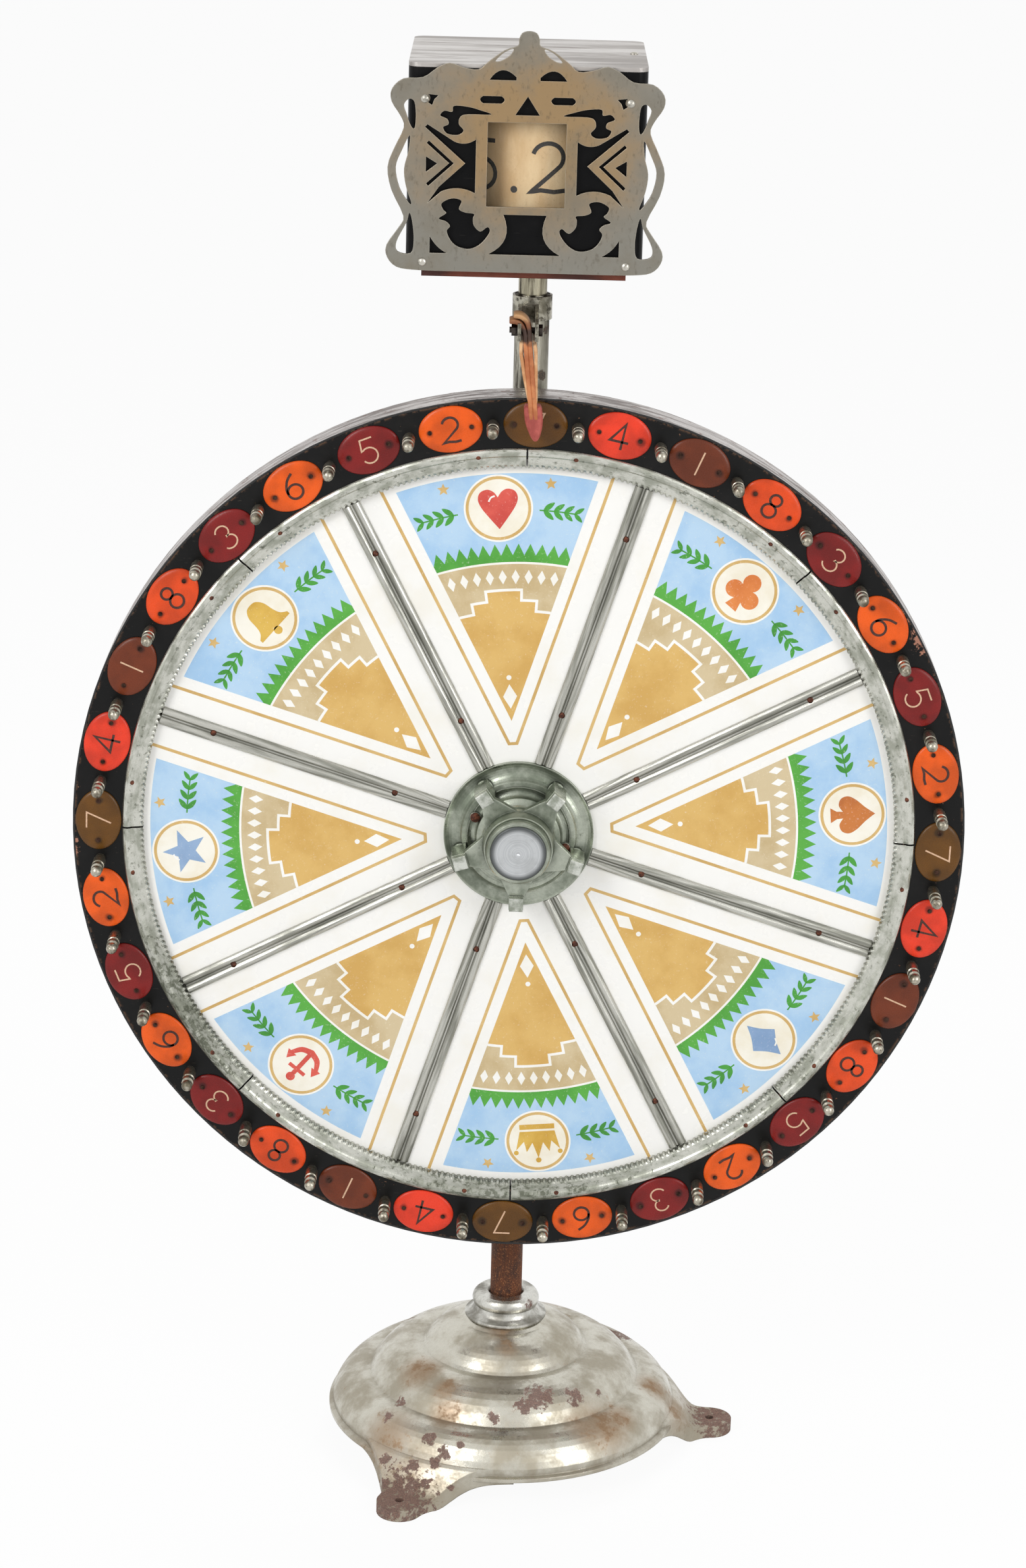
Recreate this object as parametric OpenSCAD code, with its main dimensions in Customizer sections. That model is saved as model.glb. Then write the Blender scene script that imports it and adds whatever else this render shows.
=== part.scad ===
// Gambling wheel on a stand: a pegged number wheel, a leather flapper that clicks on
// the pegs, and a drum of odds that turns in a box on top of the post.
// Millimetres. Origin on the floor under the post, +Z up, the wheel faces -Y.

/* [Base] */
// Radius of the base at its rim
base_r = 186; // [184:1:196]
// Height of the rim's lower edge above the floor
base_lift = 30; // [24:1:33]
// Height of the shoulder just above the rim
rim_h = 43; // [40:1:48]
// Radius of the middle step
step_r = 143; // [136:1:150]
// Height of the middle step
step_h = 76; // [70:1:84]
// Radius of the top dome
dome_r = 86; // [80:1:94]
// Height of the top dome's edge
dome_h = 107; // [100:1:114]
// Radius of the neck under the collar
neck_r = 47; // [44:1:52]
// Height of the neck
neck_h = 133; // [126:1:142]
// Thickness of the cast shell
base_wall = 5; // [4:0.5:7]
// Radius of the circle through the foot bolt holes
foot_r = 228; // [224:1:242]
// Radius of each foot's round end
foot_tip_r = 24; // [20:1:28]
// Thickness of each foot at its bolt hole
foot_t = 13; // [10:1:16]
// Diameter of the foot bolt holes
foot_hole_d = 9; // [6:0.5:12]
// Angle of the first foot from the right-hand side
foot_turn = 2; // [0:1:60]

/* [Posts] */
// Height of the wheel's axle above the floor
axle_z = 714; // [690:1:740]
// Outside diameter of the lower post
lower_post_d = 34; // [32:0.5:36]
// Outside diameter of the upper post
upper_post_d = 35; // [33:0.5:36]
// Wall of both posts
post_wall = 3; // [2:0.5:4]
// How far the upper post stands above the wheel's edge
post_above = 89; // [84:1:110]

/* [Wheel] */
// Diameter of the wheel over its metal band
wheel_d = 914; // [900:1:930]
// Thickness of the wheel at its rim
wheel_t = 46; // [44:1:56]
// Distance from the post's axis to the wheel's back
wheel_gap = 39; // [38:1:44]
// Thickness of the metal band round the rim
band_t = 2; // [1:0.5:3]
// How deep the panels lie behind the rim's face
panel_recess = 9; // [7:0.5:11]
// Thickness of each painted panel
panel_t = 4; // [3:0.5:5]
// Thickness of the front board
front_board_t = 10; // [8:1:13]
// Thickness of the back board
back_board_t = 6; // [4:1:8]
// Number of panels
panel_count = 8; // [6:1:10]

/* [Tags and pegs] */
// Number of tags round the rim
tag_count = 32; // [28:1:32]
// Length of a tag round the rim
tag_w = 64; // [58:1:66]
// Width of a tag across the rim
tag_h = 47; // [42:1:48]
// Thickness of a tag
tag_t = 4.5; // [3:0.5:6]
// Distance from the wheel's edge in to the tags' centres
tag_inset = 26.5; // [26:0.5:29]
// Diameter of a peg
peg_d = 12.5; // [10:0.5:13.5]
// Length of a peg in front of the rim
peg_len = 48; // [40:1:56]
// Turn of the wheel at rest, clockwise from the front
wheel_turn = 0.8; // [0:0.1:5]

/* [Trim] */
// Width of the metal ring inside the tags
trim_w = 21; // [18:1:24]
// Width of the metal strips between the panels
strip_w = 19; // [17:1:21]
// Angle of the ring's first joint from the top
seam_turn = -1; // [-4:0.5:4]

/* [Hub] */
// Length of the hub's barrel in front of the panels
hub_reach = 67; // [64:1:72]
// Radius of the hub's front flange
flange_r = 77; // [76:1:82]
// Radius of the circle of hub bolts
hub_bolt_r = 61.5; // [60.5:0.5:63]
// Number of hub bolts
hub_bolt_count = 5; // [4:1:6]
// Width of the square heads of the hub bolts
hub_head_w = 14; // [12:0.5:15]
// Diameter of the dust cap
cap_d = 57; // [54:0.5:58]

/* [Odds box] */
// Width of the box
box_w = 231; // [215:1:240]
// Depth of the box
box_d = 210; // [204:1:220]
// Height of the box without its lid
box_h = 196; // [185:1:205]
// Thickness of the lid
lid_t = 4; // [3:0.5:6]
// Distance from the post's top to the board under the box
box_gap = 32; // [26:1:40]
// Sideways shift of the box from the post
box_shift = -10; // [-12:1:6]
// Radius of the drum
drum_r = 92; // [86:1:94]
// Height of the drum
drum_h = 150; // [140:1:154]

/* [Flapper] */
// Thickness of the leather, side to side
leather_t = 13; // [10:0.5:14]
// Depth of the leather, front to back
leather_d = 22; // [18:1:26]
// How far the flapper's tip reaches in past the pegs' circle
tip_dip = 10; // [7:1:12]
// Sideways shift of the flapper's clamp
flapper_shift = -4; // [-6:0.5:2]
// How far the leather leans to the right at rest, in degrees
flapper_lean = 6; // [0:0.5:7]

/* [Hidden] */
$fn = 96;

// Running clearance of shafts, and the gap left round parts that only pass by
fit = 0.05;
pass = 0.3;

// Lip round the base's lower edge, and half the angle that each foot takes up at the rim
lip_w = 4.5;
lip_t = 4;
web_angle = 32;

// Heights up the stand
bore_r = lower_post_d / 2 + fit;
seat_z = neck_h + 5;
boss_z = neck_h - base_wall - 10;
boss_r = lower_post_d / 2 + 13;
collar_h = 27;
collar_out = 21;
wheel_r = wheel_d / 2;
post_top = axle_z + wheel_r + post_above;

// Head casting, heights measured from the axle
block_w = 68;
block_front = 18;
block_back = 34;
block_low = -40;
block_high = 62;
socket_len = 52;
socket_wall = 4.2;
set_r = 3;

// Places along the axle, counted forward from the post's axis
back_f = wheel_gap;
face_f = wheel_gap + wheel_t;
panel_f = face_f - panel_recess;
board_f = panel_f - panel_t;
core_f = board_f - front_board_t;
rear_flange_t = 8;
rear_f = back_f - rear_flange_t;
hub_f = panel_f + hub_reach;

// Rings of the wheel's face
rim_r = wheel_r - band_t;
tag_r = wheel_r - tag_inset;
trim_out = tag_r - tag_h / 2 - 1;
trim_in = trim_out - trim_w;
rebate_r = trim_out - 11.5;
rim_in = rebate_r - 14;
sector = 360 / panel_count;
strip_turn = 1.5 * 360 / tag_count;
panel_turn = strip_turn - sector / 2;
seam_gap = 0.5;
panel_joint = 4;
strip_base = 1.6;
screw_r = 1.6;
screw_head_r = 3;
strip_screws = [134, 329];
trim_screw_r = trim_in + 14.5;
trim_screw_turn = 7;
trim_seat = 2.2;
order = [7, 4, 1, 8, 3, 6, 5, 2];
order_right = [7, 4, 1, 8, 5, 2, 3, 6];
tag_edge = 2;
pin_r = 2.2;
pin_reach = 21;

// Ball bearings, 52 outside and 15 wide, one on each end of the barrel
bearing_r = 26;
bearing_w = 15;
rear_bearing = rear_f + 5;
front_bearing = hub_f - 35;
spindle_r = 12.5;
spindle_nose_r = 10;
spindle_nut_r = 17;
spindle_nut_t = 8;
race_t = 3.4;
ball_r = 3.9;
ball_ring = 19.25;
ball_count = 9;
barrel_r = 33;
bolt_r = 5;
nut_t = 7;
spider_f = panel_f + 34;
spider_t = 9;
leg_w = 15;
leg_rise = 1;
flange_pad = 11;
flange_screw_r = 49;
flange_screw_turns = [-67, 102];
flange_screw_seat = 13;
flange_shank_r = 2;
flange_head_r = 5;

// Friction drive from the wheel's back to the drum
roller_r = 24;
roller_low = 39;
roller_high = 49;
disc_r = 52;
disc_in = 30;
shaft_r = 6;
bush_r = 9;

// Odds box and drum
board_t = 8;
box_wall = 2;
box_z = post_top + box_gap + board_t;
lid_z = box_z + box_h;
stem_r = upper_post_d / 2 - post_wall - fit;
stem_wall = 3;
stem_grip = 70;
stem_flange_t = 5;
drum_z = box_z + box_wall + stem_flange_t + 12;
drum_wall = 2.5;
drum_end_t = 6;
corner_r = 12;
plate_t = 3;
plate_gap = 3;
plate_h = 233;
plate_y = -box_d / 2 - plate_gap;
window_w = 76;
window_low = 64;
window_high = 145.5;
glass_t = 3;
glass_lap = 8;
plate_holes = [[99, 8.5], [99, 166.5]];
lid_screw_x = box_w / 2 - 12;
box_screw_r = 2;
box_head_r = 4;

// Flapper, its leather clamped between two cheeks in front of the post
clamp_t = 3.5;
clamp_h = 24;
clamp_z = post_top - clamp_h - 1;
cheek_h = 17;
leather_y = -109;
hinge_z = clamp_z - 5;
tip_z = axle_z + tag_r - tip_dip;
tongue_len = hinge_z - tip_z;
tip_w = leather_t + 4;
tip_h = 32;
root_top = post_top + 3;
bracket_bolt_r = 3;
bracket_bolt_z = clamp_z + cheek_h / 2;

nickel = [0.66, 0.66, 0.62];
bright = [0.8, 0.81, 0.8];
rust = [0.36, 0.2, 0.13];
iron = [0.2, 0.2, 0.2];
steel = [0.6, 0.6, 0.6];
black = [0.06, 0.06, 0.06];
timber = [0.5, 0.36, 0.22];
white = [0.93, 0.92, 0.88];
tan = [0.72, 0.52, 0.32];

// Points of a curve from p to q that swells to the left by sag at its middle
function crown(p, q, sag, n = 8) = let (d = q - p, side = [-d[1], d[0]] / norm(d))
  [for (i = [0:n]) let (t = i / n) p + t * d + 4 * sag * t * (1 - t) * side];

// Points of a closed smooth curve through the points given
function smooth_loop(pts, n = 4) = let (m = len(pts)) [for (i = [0:m - 1], j = [0:n - 1])
  let (a = pts[(i + m - 1) % m], b = pts[i], c = pts[(i + 1) % m], d = pts[(i + 2) % m], t = j / n)
  b + 0.5 * t * (c - a) + t * t * (a - 2.5 * b + 2 * c - 0.5 * d)
  + t * t * t * (1.5 * b - 0.5 * a - 1.5 * c + 0.5 * d)];

// Points of an ellipse
function oval(a, b, n = 64) = [for (i = [0:n - 1]) [a * cos(360 * i / n), b * sin(360 * i / n)]];

// Points of a rectangle with round corners, centred on the origin
function soft_box(w, d, r, n = 6) = [
  for (c = [[1, 1, 0], [-1, 1, 90], [-1, -1, 180], [1, -1, 270]], i = [0:n])
  [c[0] * (w / 2 - r) + r * cos(c[2] + 90 * i / n), c[1] * (d / 2 - r) + r * sin(c[2] + 90 * i / n)]];

function ease(t) = t * t * (3 - 2 * t);
function flip(pts) = [for (i = [len(pts) - 1:-1:0]) pts[i]];
function tag_number(i) = i >= tag_count / 4 && i < tag_count / 2 ? order_right[i % 8] : order[i % 8];

// Puts a shape on the axle: X right, Y up, Z out to the front
module on_axle() {
  translate([0, 0, axle_z])
    rotate([90, 0, 0])
      rotate([0, 0, -wheel_turn])
        children();
}

// Repeats a shape clockwise round the axle, starting at the top
module around(count, start = 0) {
  for (k = [0:count - 1])
    rotate([0, 0, -start - k * 360 / count])
      children();
}

module tube(r_out, r_in, low, high) {
  translate([0, 0, low])
    difference() {
      cylinder(r = r_out, h = high - low);
      translate([0, 0, -1])
        cylinder(r = r_in, h = high - low + 2);
    }
}

module rod(r, low, high) {
  translate([0, 0, low])
    cylinder(r = r, h = high - low);
}

// Round-headed screw standing on z = 0, its shank going down
module round_screw(shank_r, shank, head_r, head) {
  rotate_extrude()
    polygon(concat([[0, -shank], [shank_r, -shank], [shank_r, 0], [head_r, 0]],
      crown([head_r, head / 3], [0, head], -head / 5, 4)));
}

function base_outer() = concat([[neck_r - 7, seat_z]],
  crown([neck_r, neck_h], [dome_r, dome_h], 5),
  crown([dome_r + 3, dome_h - 3], [step_r, step_h], 9),
  crown([step_r + 3, step_h - 4], [base_r, rim_h], 8));
function base_inner() = [for (p = base_outer()) if (p[0] >= neck_r) p - [base_wall, base_wall]];

// Cast dome, hollow below, with a boss for the post
module base_shell() {
  rotate_extrude()
    polygon(concat([[bore_r, boss_z], [bore_r, seat_z]], base_outer(),
      [[base_r, base_lift + lip_t + 2], [base_r + lip_w, base_lift + lip_t], [base_r + lip_w, base_lift],
        [base_r - base_wall, base_lift]],
      flip(base_inner()),
      [[boss_r, neck_h - base_wall], [boss_r, boss_z]]));
}

// Arched foot along +X: an S-shaped slope out of the shell's wall, cut to a round-ended outline
// whose sides leave the rim along its tangent
module base_foot() {
  wall_r = base_r - base_wall / 2;
  slope_end = foot_r - 12;
  reach = foot_r + foot_tip_r + 1;
  steps = 10;
  start = wall_r * [cos(web_angle), sin(web_angle)];
  bend = [start[0] + (start[1] - foot_tip_r) * tan(web_angle), foot_tip_r];
  end = [foot_r, foot_tip_r];
  side = concat([0.9 * start], [for (i = [0:steps]) let (t = i / steps)
    (1 - t) * (1 - t) * start + 2 * t * (1 - t) * bend + t * t * end]);
  tip = [for (i = [1:15]) let (a = 90 - i * 11.25) [foot_r + foot_tip_r * cos(a), foot_tip_r * sin(a)]];
  top = [for (i = [0:steps]) let (t = i / steps)
    [wall_r + t * (slope_end - wall_r), foot_t + (rim_h + 1 - foot_t) * (1 - ease(t))]];
  under = [for (i = [0:steps]) let (t = i / steps)
    [wall_r + t * (slope_end - 6 - wall_r), (base_lift - 5) * (1 - ease(t))]];
  intersection() {
    linear_extrude(step_h)
      polygon(concat(side, tip, flip([for (p = side) [p[0], -p[1]]])));
    rotate_extrude()
      polygon(concat(top, [[reach, foot_t], [reach, 0]], flip(under)));
  }
}

module base_casting() {
  color(nickel)
    difference() {
      union() {
        base_shell();
        for (k = [0:2])
          rotate([0, 0, foot_turn + 120 * k])
            base_foot();
      }
      for (k = [0:2])
        rotate([0, 0, foot_turn + 120 * k])
          translate([foot_r, 0, -1])
            cylinder(d = foot_hole_d, h = foot_t + 20);
    }
}

// Turned collar: a ring over a flared bell
module base_collar() {
  top = seat_z + collar_h;
  post_r = lower_post_d / 2;
  color(nickel)
    difference() {
      rotate_extrude()
        polygon(concat([[bore_r, seat_z], [post_r + 27, seat_z], [post_r + 27, seat_z + 2]],
          crown([post_r + 26, seat_z + 3], [post_r + 17, seat_z + 13], 2.5),
          crown([post_r + 18, seat_z + 14], [post_r + 16.5, top - 2], -1.8),
          [[post_r + 14, top], [post_r + 3, top], [bore_r, top - 3]]));
      translate([0, 0, seat_z + collar_h / 2])
        rotate([-90, 0, 0])
          cylinder(r = set_r + fit, h = lower_post_d / 2 + collar_out);
    }
}

// Square-headed set screw along +Y, from radius r_in to a head outside radius r_out
module set_screw(r_in, r_out, z) {
  translate([0, 0, z])
    rotate([-90, 0, 0]) {
      rod(set_r, r_in, r_out);
      translate([-4.5, -4.5, r_out])
        cube([9, 9, 8]);
    }
}

module set_screws() {
  color(rust) {
    set_screw(lower_post_d / 2, lower_post_d / 2 + collar_out, seat_z + collar_h / 2);
    set_screw(lower_post_d / 2, lower_post_d / 2 + socket_wall + 1, axle_z + block_low - socket_len / 2);
    set_screw(upper_post_d / 2, upper_post_d / 2 + socket_wall + 1, axle_z + block_high + socket_len / 2);
  }
}

module lower_post() {
  color(rust)
    tube(lower_post_d / 2, lower_post_d / 2 - post_wall, boss_z, axle_z + block_low - 3);
}

module upper_post() {
  color(bright)
    tube(upper_post_d / 2, upper_post_d / 2 - post_wall, axle_z + block_high + 3, post_top);
}

// Iron head between the two posts: it carries the spindle and the drum's drive
module head_casting() {
  low_r = lower_post_d / 2;
  high_r = upper_post_d / 2;
  color(iron)
    translate([0, 0, axle_z])
      difference() {
        union() {
          translate([-block_w / 2, -block_front, block_low])
            cube([block_w, block_front + block_back, block_high - block_low]);
          rod(low_r + socket_wall, block_low - socket_len, block_low);
          rod(high_r + socket_wall, block_high, block_high + socket_len);
        }
        rod(low_r + fit, block_low - socket_len - 1, block_low - 3);
        rod(high_r + fit, block_high + 3, block_high + socket_len + 1);
        rotate([-90, 0, 0])
          rod(spindle_r + fit, -block_front - 1, block_back + 1);
        rod(roller_r + 1.5, roller_low - 1, roller_high + 1);
        rod(bush_r, roller_low - 15, block_high + 4);
        for (z = [block_low - socket_len / 2, block_high + socket_len / 2])
          translate([0, 0, z])
            rotate([-90, 0, 0])
              cylinder(r = set_r + fit, h = block_back);
      }
}

module spindle() {
  color(steel)
    on_axle()
      rotate_extrude()
        polygon([[0, -block_back - 12], [spindle_nose_r, -block_back - 12], [spindle_nose_r, -block_back],
          [spindle_r, -block_back], [spindle_r, block_front], [spindle_r + 4, block_front],
          [spindle_r + 4, rear_bearing], [spindle_r, rear_bearing], [spindle_r, front_bearing],
          [spindle_nose_r, front_bearing], [spindle_nose_r, hub_f - 10], [0, hub_f - 10]]);
}

module spindle_nut(low) {
  translate([0, 0, low])
    difference() {
      cylinder(r = spindle_nut_r, h = spindle_nut_t, $fn = 6);
      translate([0, 0, -1])
        cylinder(r = spindle_nose_r + fit, h = spindle_nut_t + 2);
    }
}

module spindle_nuts() {
  color(steel)
    on_axle() {
      spindle_nut(front_bearing + bearing_w);
      spindle_nut(-block_back - spindle_nut_t);
    }
}

// One ring of a ball bearing with its groove
module race(r_out, r_in, low) {
  difference() {
    tube(r_out, r_in, low, low + bearing_w);
    rotate_extrude()
      translate([ball_ring, low + bearing_w / 2])
        circle(r = ball_r + 0.2);
  }
}

module inner_races() {
  inner_r = spindle_r + race_t;
  color(steel)
    on_axle() {
      race(inner_r, spindle_r + fit, rear_bearing);
      race(inner_r, spindle_nose_r + fit, front_bearing);
    }
}

module outer_races() {
  color(steel)
    on_axle()
      for (low = [rear_bearing, front_bearing])
        race(bearing_r - fit, bearing_r - race_t, low);
}

module bearing_balls() {
  color(bright)
    on_axle()
      for (low = [rear_bearing, front_bearing])
        around(ball_count)
          translate([0, ball_ring, low + bearing_w / 2])
            sphere(r = ball_r);
}

module bush(r, low, high) {
  tube(r - fit, shaft_r + fit, low, high);
}

module shaft_bushes() {
  top = box_z + box_wall + stem_flange_t;
  color("peru") {
    bush(bush_r, axle_z + roller_low - 15, axle_z + roller_low - 1);
    bush(bush_r, axle_z + roller_high + 1, axle_z + block_high + 3);
    bush(stem_r - stem_wall, top - 15, top);
  }
}

module wheel_rim() {
  color(black)
    on_axle()
      rotate_extrude()
        polygon([[rim_in, back_f + back_board_t], [rebate_r, back_f + back_board_t], [rebate_r, back_f],
          [rim_r, back_f], [rim_r, face_f], [rebate_r, face_f], [rebate_r, core_f], [rim_in, core_f]]);
}

module rim_band() {
  color(nickel)
    on_axle()
      tube(wheel_r, rim_r, back_f, face_f);
}

// Round board of the wheel, with holes for the barrel and the hub bolts
module wheel_board(r, low, high) {
  on_axle()
    difference() {
      tube(r, barrel_r + pass, low, high);
      around(hub_bolt_count, 180)
        translate([0, hub_bolt_r, 0])
          rod(bolt_r + pass, low - 1, high + 1);
    }
}

module front_board() {
  color(timber)
    wheel_board(rebate_r - pass, core_f, board_f);
}

module core_board() {
  color(timber)
    wheel_board(rim_in - pass, back_f + back_board_t, core_f);
}

module back_board() {
  color(black)
    wheel_board(rebate_r - pass, back_f, back_f + back_board_t);
}

// Wedge about +Y, one panel wide, that leaves a gap to the next wedge
module sector_block(gap, low, high) {
  apex = gap / 2 / sin(sector / 2);
  far = wheel_r / cos(sector / 2);
  side = far * sin(sector / 2);
  translate([0, 0, low])
    linear_extrude(high - low)
      polygon([[0, apex], [side, apex + far * cos(sector / 2)], [-side, apex + far * cos(sector / 2)]]);
}

// Painted panel number k: a sector that stops short of its neighbours
module panel(k) {
  color(white)
    on_axle()
      rotate([0, 0, -panel_turn - (k - 1) * sector])
        intersection() {
          tube(rebate_r - pass, flange_r - 7, board_f, panel_f);
          sector_block(panel_joint, board_f - 1, panel_f + 1);
        }
}

module panel_1() panel(1);
module panel_2() panel(2);
module panel_3() panel(3);
module panel_4() panel(4);
module panel_5() panel(5);
module panel_6() panel(6);
module panel_7() panel(7);
module panel_8() panel(8);

// Strips of double-reeded moulding from the hub to the ring
module divider_strips() {
  low = flange_r + 0.5;
  high = trim_in - 0.5;
  half = strip_w / 2;
  reeds = concat([[-half, 0]], crown([-half, strip_base], [-0.8, strip_base], 3),
    crown([0.8, strip_base], [half, strip_base], 3), [[half, 0]]);
  color(nickel)
    on_axle()
      around(panel_count, strip_turn)
        difference() {
          translate([0, high, panel_f])
            rotate([90, 0, 0])
              linear_extrude(high - low)
                polygon(reeds);
          for (r = strip_screws)
            translate([0, r, panel_f]) {
              rod(screw_r + fit, -1, 3);
              rod(screw_head_r + 0.2, strip_base, 8);
            }
        }
}

// Metal ring in as many pieces as there are panels: a bead outside, a lip down to the panels
module trim_segments() {
  lip_r = rebate_r - pass;
  bead_r = trim_out - 9;
  profile = concat([[lip_r, panel_f], [lip_r, face_f], [trim_out, face_f]],
    crown([trim_out, face_f + 2], [bead_r, face_f + 2], -2),
    [[trim_in + 4, face_f], [trim_in, face_f - 1], [trim_in, panel_f]]);
  color(nickel)
    on_axle()
      difference() {
        around(panel_count, seam_turn + sector / 2)
          intersection() {
            rotate_extrude()
              polygon(profile);
            sector_block(seam_gap, panel_f - 1, face_f + 10);
          }
        for (s = [-1, 1])
          around(panel_count, seam_turn + s * trim_screw_turn)
            translate([0, trim_screw_r, face_f]) {
              rod(screw_r + fit, -1, 4);
              rod(screw_head_r + 0.2, trim_seat, 8);
            }
      }
}

module trim_screws() {
  color(rust)
    on_axle() {
      around(panel_count, strip_turn)
        for (r = strip_screws)
          translate([0, r, panel_f + strip_base])
            round_screw(screw_r, strip_base + panel_t, screw_head_r, 1.8);
      for (s = [-1, 1])
        around(panel_count, seam_turn + s * trim_screw_turn)
          translate([0, trim_screw_r, face_f + trim_seat])
            round_screw(screw_r, trim_seat, screw_head_r, 1.8);
    }
}

// Oval tags that bear any of the numbers listed
module number_tags(numbers) {
  on_axle()
    for (i = [0:tag_count - 1])
      if (len(search(tag_number(i), numbers)) > 0)
        rotate([0, 0, -i * 360 / tag_count])
          translate([0, tag_r, face_f])
            difference() {
              union() {
                linear_extrude(tag_t - 1)
                  polygon(oval(tag_w / 2, tag_h / 2));
                linear_extrude(tag_t)
                  polygon(oval(tag_w / 2 - tag_edge, tag_h / 2 - tag_edge));
              }
              for (s = [-1, 1])
                translate([s * pin_reach, 0, 0])
                  rod(pin_r + fit, -1, tag_t + 1);
            }
}

module tags_olive() color([0.43, 0.27, 0.12]) number_tags([7]);
module tags_red() color([0.9, 0.3, 0.22]) number_tags([4]);
module tags_brown() color([0.45, 0.22, 0.14]) number_tags([1]);
module tags_vermilion() color([0.9, 0.33, 0.18]) number_tags([8]);
module tags_maroon() color([0.48, 0.15, 0.15]) number_tags([3, 5]);
module tags_orange() color([0.95, 0.43, 0.18]) number_tags([2, 6]);

module tag_pins() {
  color(iron)
    on_axle()
      around(tag_count)
        for (s = [-1, 1])
          translate([s * pin_reach, tag_r, face_f])
            rod(pin_r, 0, tag_t + 0.4);
}

// Turned pegs, each with two ring grooves and a domed bead at its end
module pegs() {
  r = peg_d / 2;
  color(nickel)
    on_axle()
      around(tag_count, 180 / tag_count)
        translate([0, tag_r, face_f])
          rotate_extrude()
            polygon(concat([[0, 0], [r - 0.9, 0], [r - 0.9, 6], [r, 7], [r, peg_len - 24],
              [r - 1.5, peg_len - 23], [r - 1.5, peg_len - 21.5], [r - 0.2, peg_len - 20.5],
              [r - 0.2, peg_len - 14], [r - 2, peg_len - 12], [r - 2, peg_len - 10.5], [r - 0.7, peg_len - 9]],
              crown([r - 0.7, peg_len - 5], [0, peg_len], -1.5)));
}

// Front flange with two coves, a pad under each leg and two screws
module hub_flange() {
  p = panel_f;
  spigot_r = flange_r - 7 - pass;
  bore = barrel_r + pass;
  step = hub_bolt_r - leg_w / 2 - 1;
  color(nickel)
    on_axle()
      difference() {
        union() {
          rotate_extrude()
            polygon(concat([[bore, board_f], [spigot_r, board_f], [spigot_r, p], [flange_r, p]],
              crown([flange_r, p + 5], [58, p + 10], 4),
              [[step, p + flange_pad - 0.6]], crown([step, p + 12], [43, p + 19], 4),
              crown([41, p + 20], [bore + 2, p + 30], 2), [[bore, p + 30]]));
          around(hub_bolt_count, 180)
            translate([0, hub_bolt_r, p])
              rod(8.5, -1, flange_pad);
          for (a = flange_screw_turns)
            rotate([0, 0, -a])
              translate([0, flange_screw_r, p])
                rod(5.5, -1, flange_screw_seat);
        }
        around(hub_bolt_count, 180)
          translate([0, hub_bolt_r, p])
            rod(bolt_r + fit, -panel_t - 1, 30);
        for (a = flange_screw_turns)
          rotate([0, 0, -a])
            translate([0, flange_screw_r, p]) {
              rod(flange_shank_r + fit, -panel_t - 1, 30);
              rod(flange_head_r + pass, flange_screw_seat, 40);
            }
      }
}

module flange_screws() {
  color(rust)
    on_axle()
      for (a = flange_screw_turns)
        rotate([0, 0, -a])
          translate([0, flange_screw_r, panel_f + flange_screw_seat])
            round_screw(flange_shank_r, flange_screw_seat + panel_t, flange_head_r, 3.5);
}

// Spider that clamps the flange: a waisted plate round the barrel with a square leg at each bolt
module hub_spider() {
  step = 360 / hub_bolt_count;
  tip = hub_bolt_r + leg_w / 2 - 2;
  waist = 36.5;
  star = [for (k = [0:hub_bolt_count - 1], i = [0:11]) let (t = i / 12, a = -90 + (k + t) * step,
    r = waist + (tip - waist) * pow(abs(2 * t - 1), 1.9)) [r * cos(a), r * sin(a)]];
  color(nickel)
    on_axle()
      difference() {
        union() {
          rotate_extrude()
            polygon(concat([[barrel_r - 1, panel_f + 31], [waist + 1.5, panel_f + 32]],
              crown([waist + 1.5, spider_f + spider_t / 2], [barrel_r + 2, hub_f - 10], 1, 6),
              [[barrel_r - 1, hub_f - 10]]));
          translate([0, 0, spider_f])
            linear_extrude(spider_t - leg_rise)
              polygon(star);
          around(hub_bolt_count, 180)
            translate([-leg_w / 2, hub_bolt_r - leg_w / 2, panel_f + flange_pad])
              cube([leg_w, leg_w, spider_f + spider_t - panel_f - flange_pad]);
        }
        rod(barrel_r + pass, panel_f, hub_f);
        around(hub_bolt_count, 180)
          translate([0, hub_bolt_r, 0])
            rod(bolt_r + fit, panel_f, hub_f);
      }
}

// Barrel that turns on the two bearings, with the flange behind the wheel
module hub_barrel() {
  cap_r = cap_d / 2 + fit;
  front_stop = front_bearing;
  rear_stop = rear_bearing + bearing_w;
  color(nickel)
    on_axle()
      difference() {
        rotate_extrude()
          polygon([[bearing_r, rear_f], [hub_bolt_r + 12, rear_f], [hub_bolt_r + 12, back_f],
            [barrel_r, back_f], [barrel_r, hub_f - 2], [barrel_r - 1.5, hub_f], [cap_r, hub_f],
            [cap_r, hub_f - 7], [bearing_r, hub_f - 7], [bearing_r, front_stop], [bearing_r - 2, front_stop],
            [bearing_r - 2, rear_stop], [bearing_r, rear_stop]]);
        around(hub_bolt_count, 180)
          translate([0, hub_bolt_r, 0])
            rod(bolt_r + fit, rear_f - 1, back_f + 1);
      }
}

module hub_bolts() {
  top = spider_f + spider_t;
  color(bright)
    on_axle()
      around(hub_bolt_count, 180)
        translate([0, hub_bolt_r, 0]) {
          rod(bolt_r, rear_f - nut_t, top);
          translate([-hub_head_w / 2, -hub_head_w / 2, top])
            cube([hub_head_w, hub_head_w, 7]);
        }
}

module hub_nuts() {
  color(steel)
    on_axle()
      around(hub_bolt_count, 180)
        translate([0, hub_bolt_r, rear_f - nut_t])
          difference() {
            translate([-7.5, -7.5, 0])
              cube([15, 15, nut_t]);
            rod(bolt_r + fit, -1, nut_t + 1);
          }
}

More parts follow.
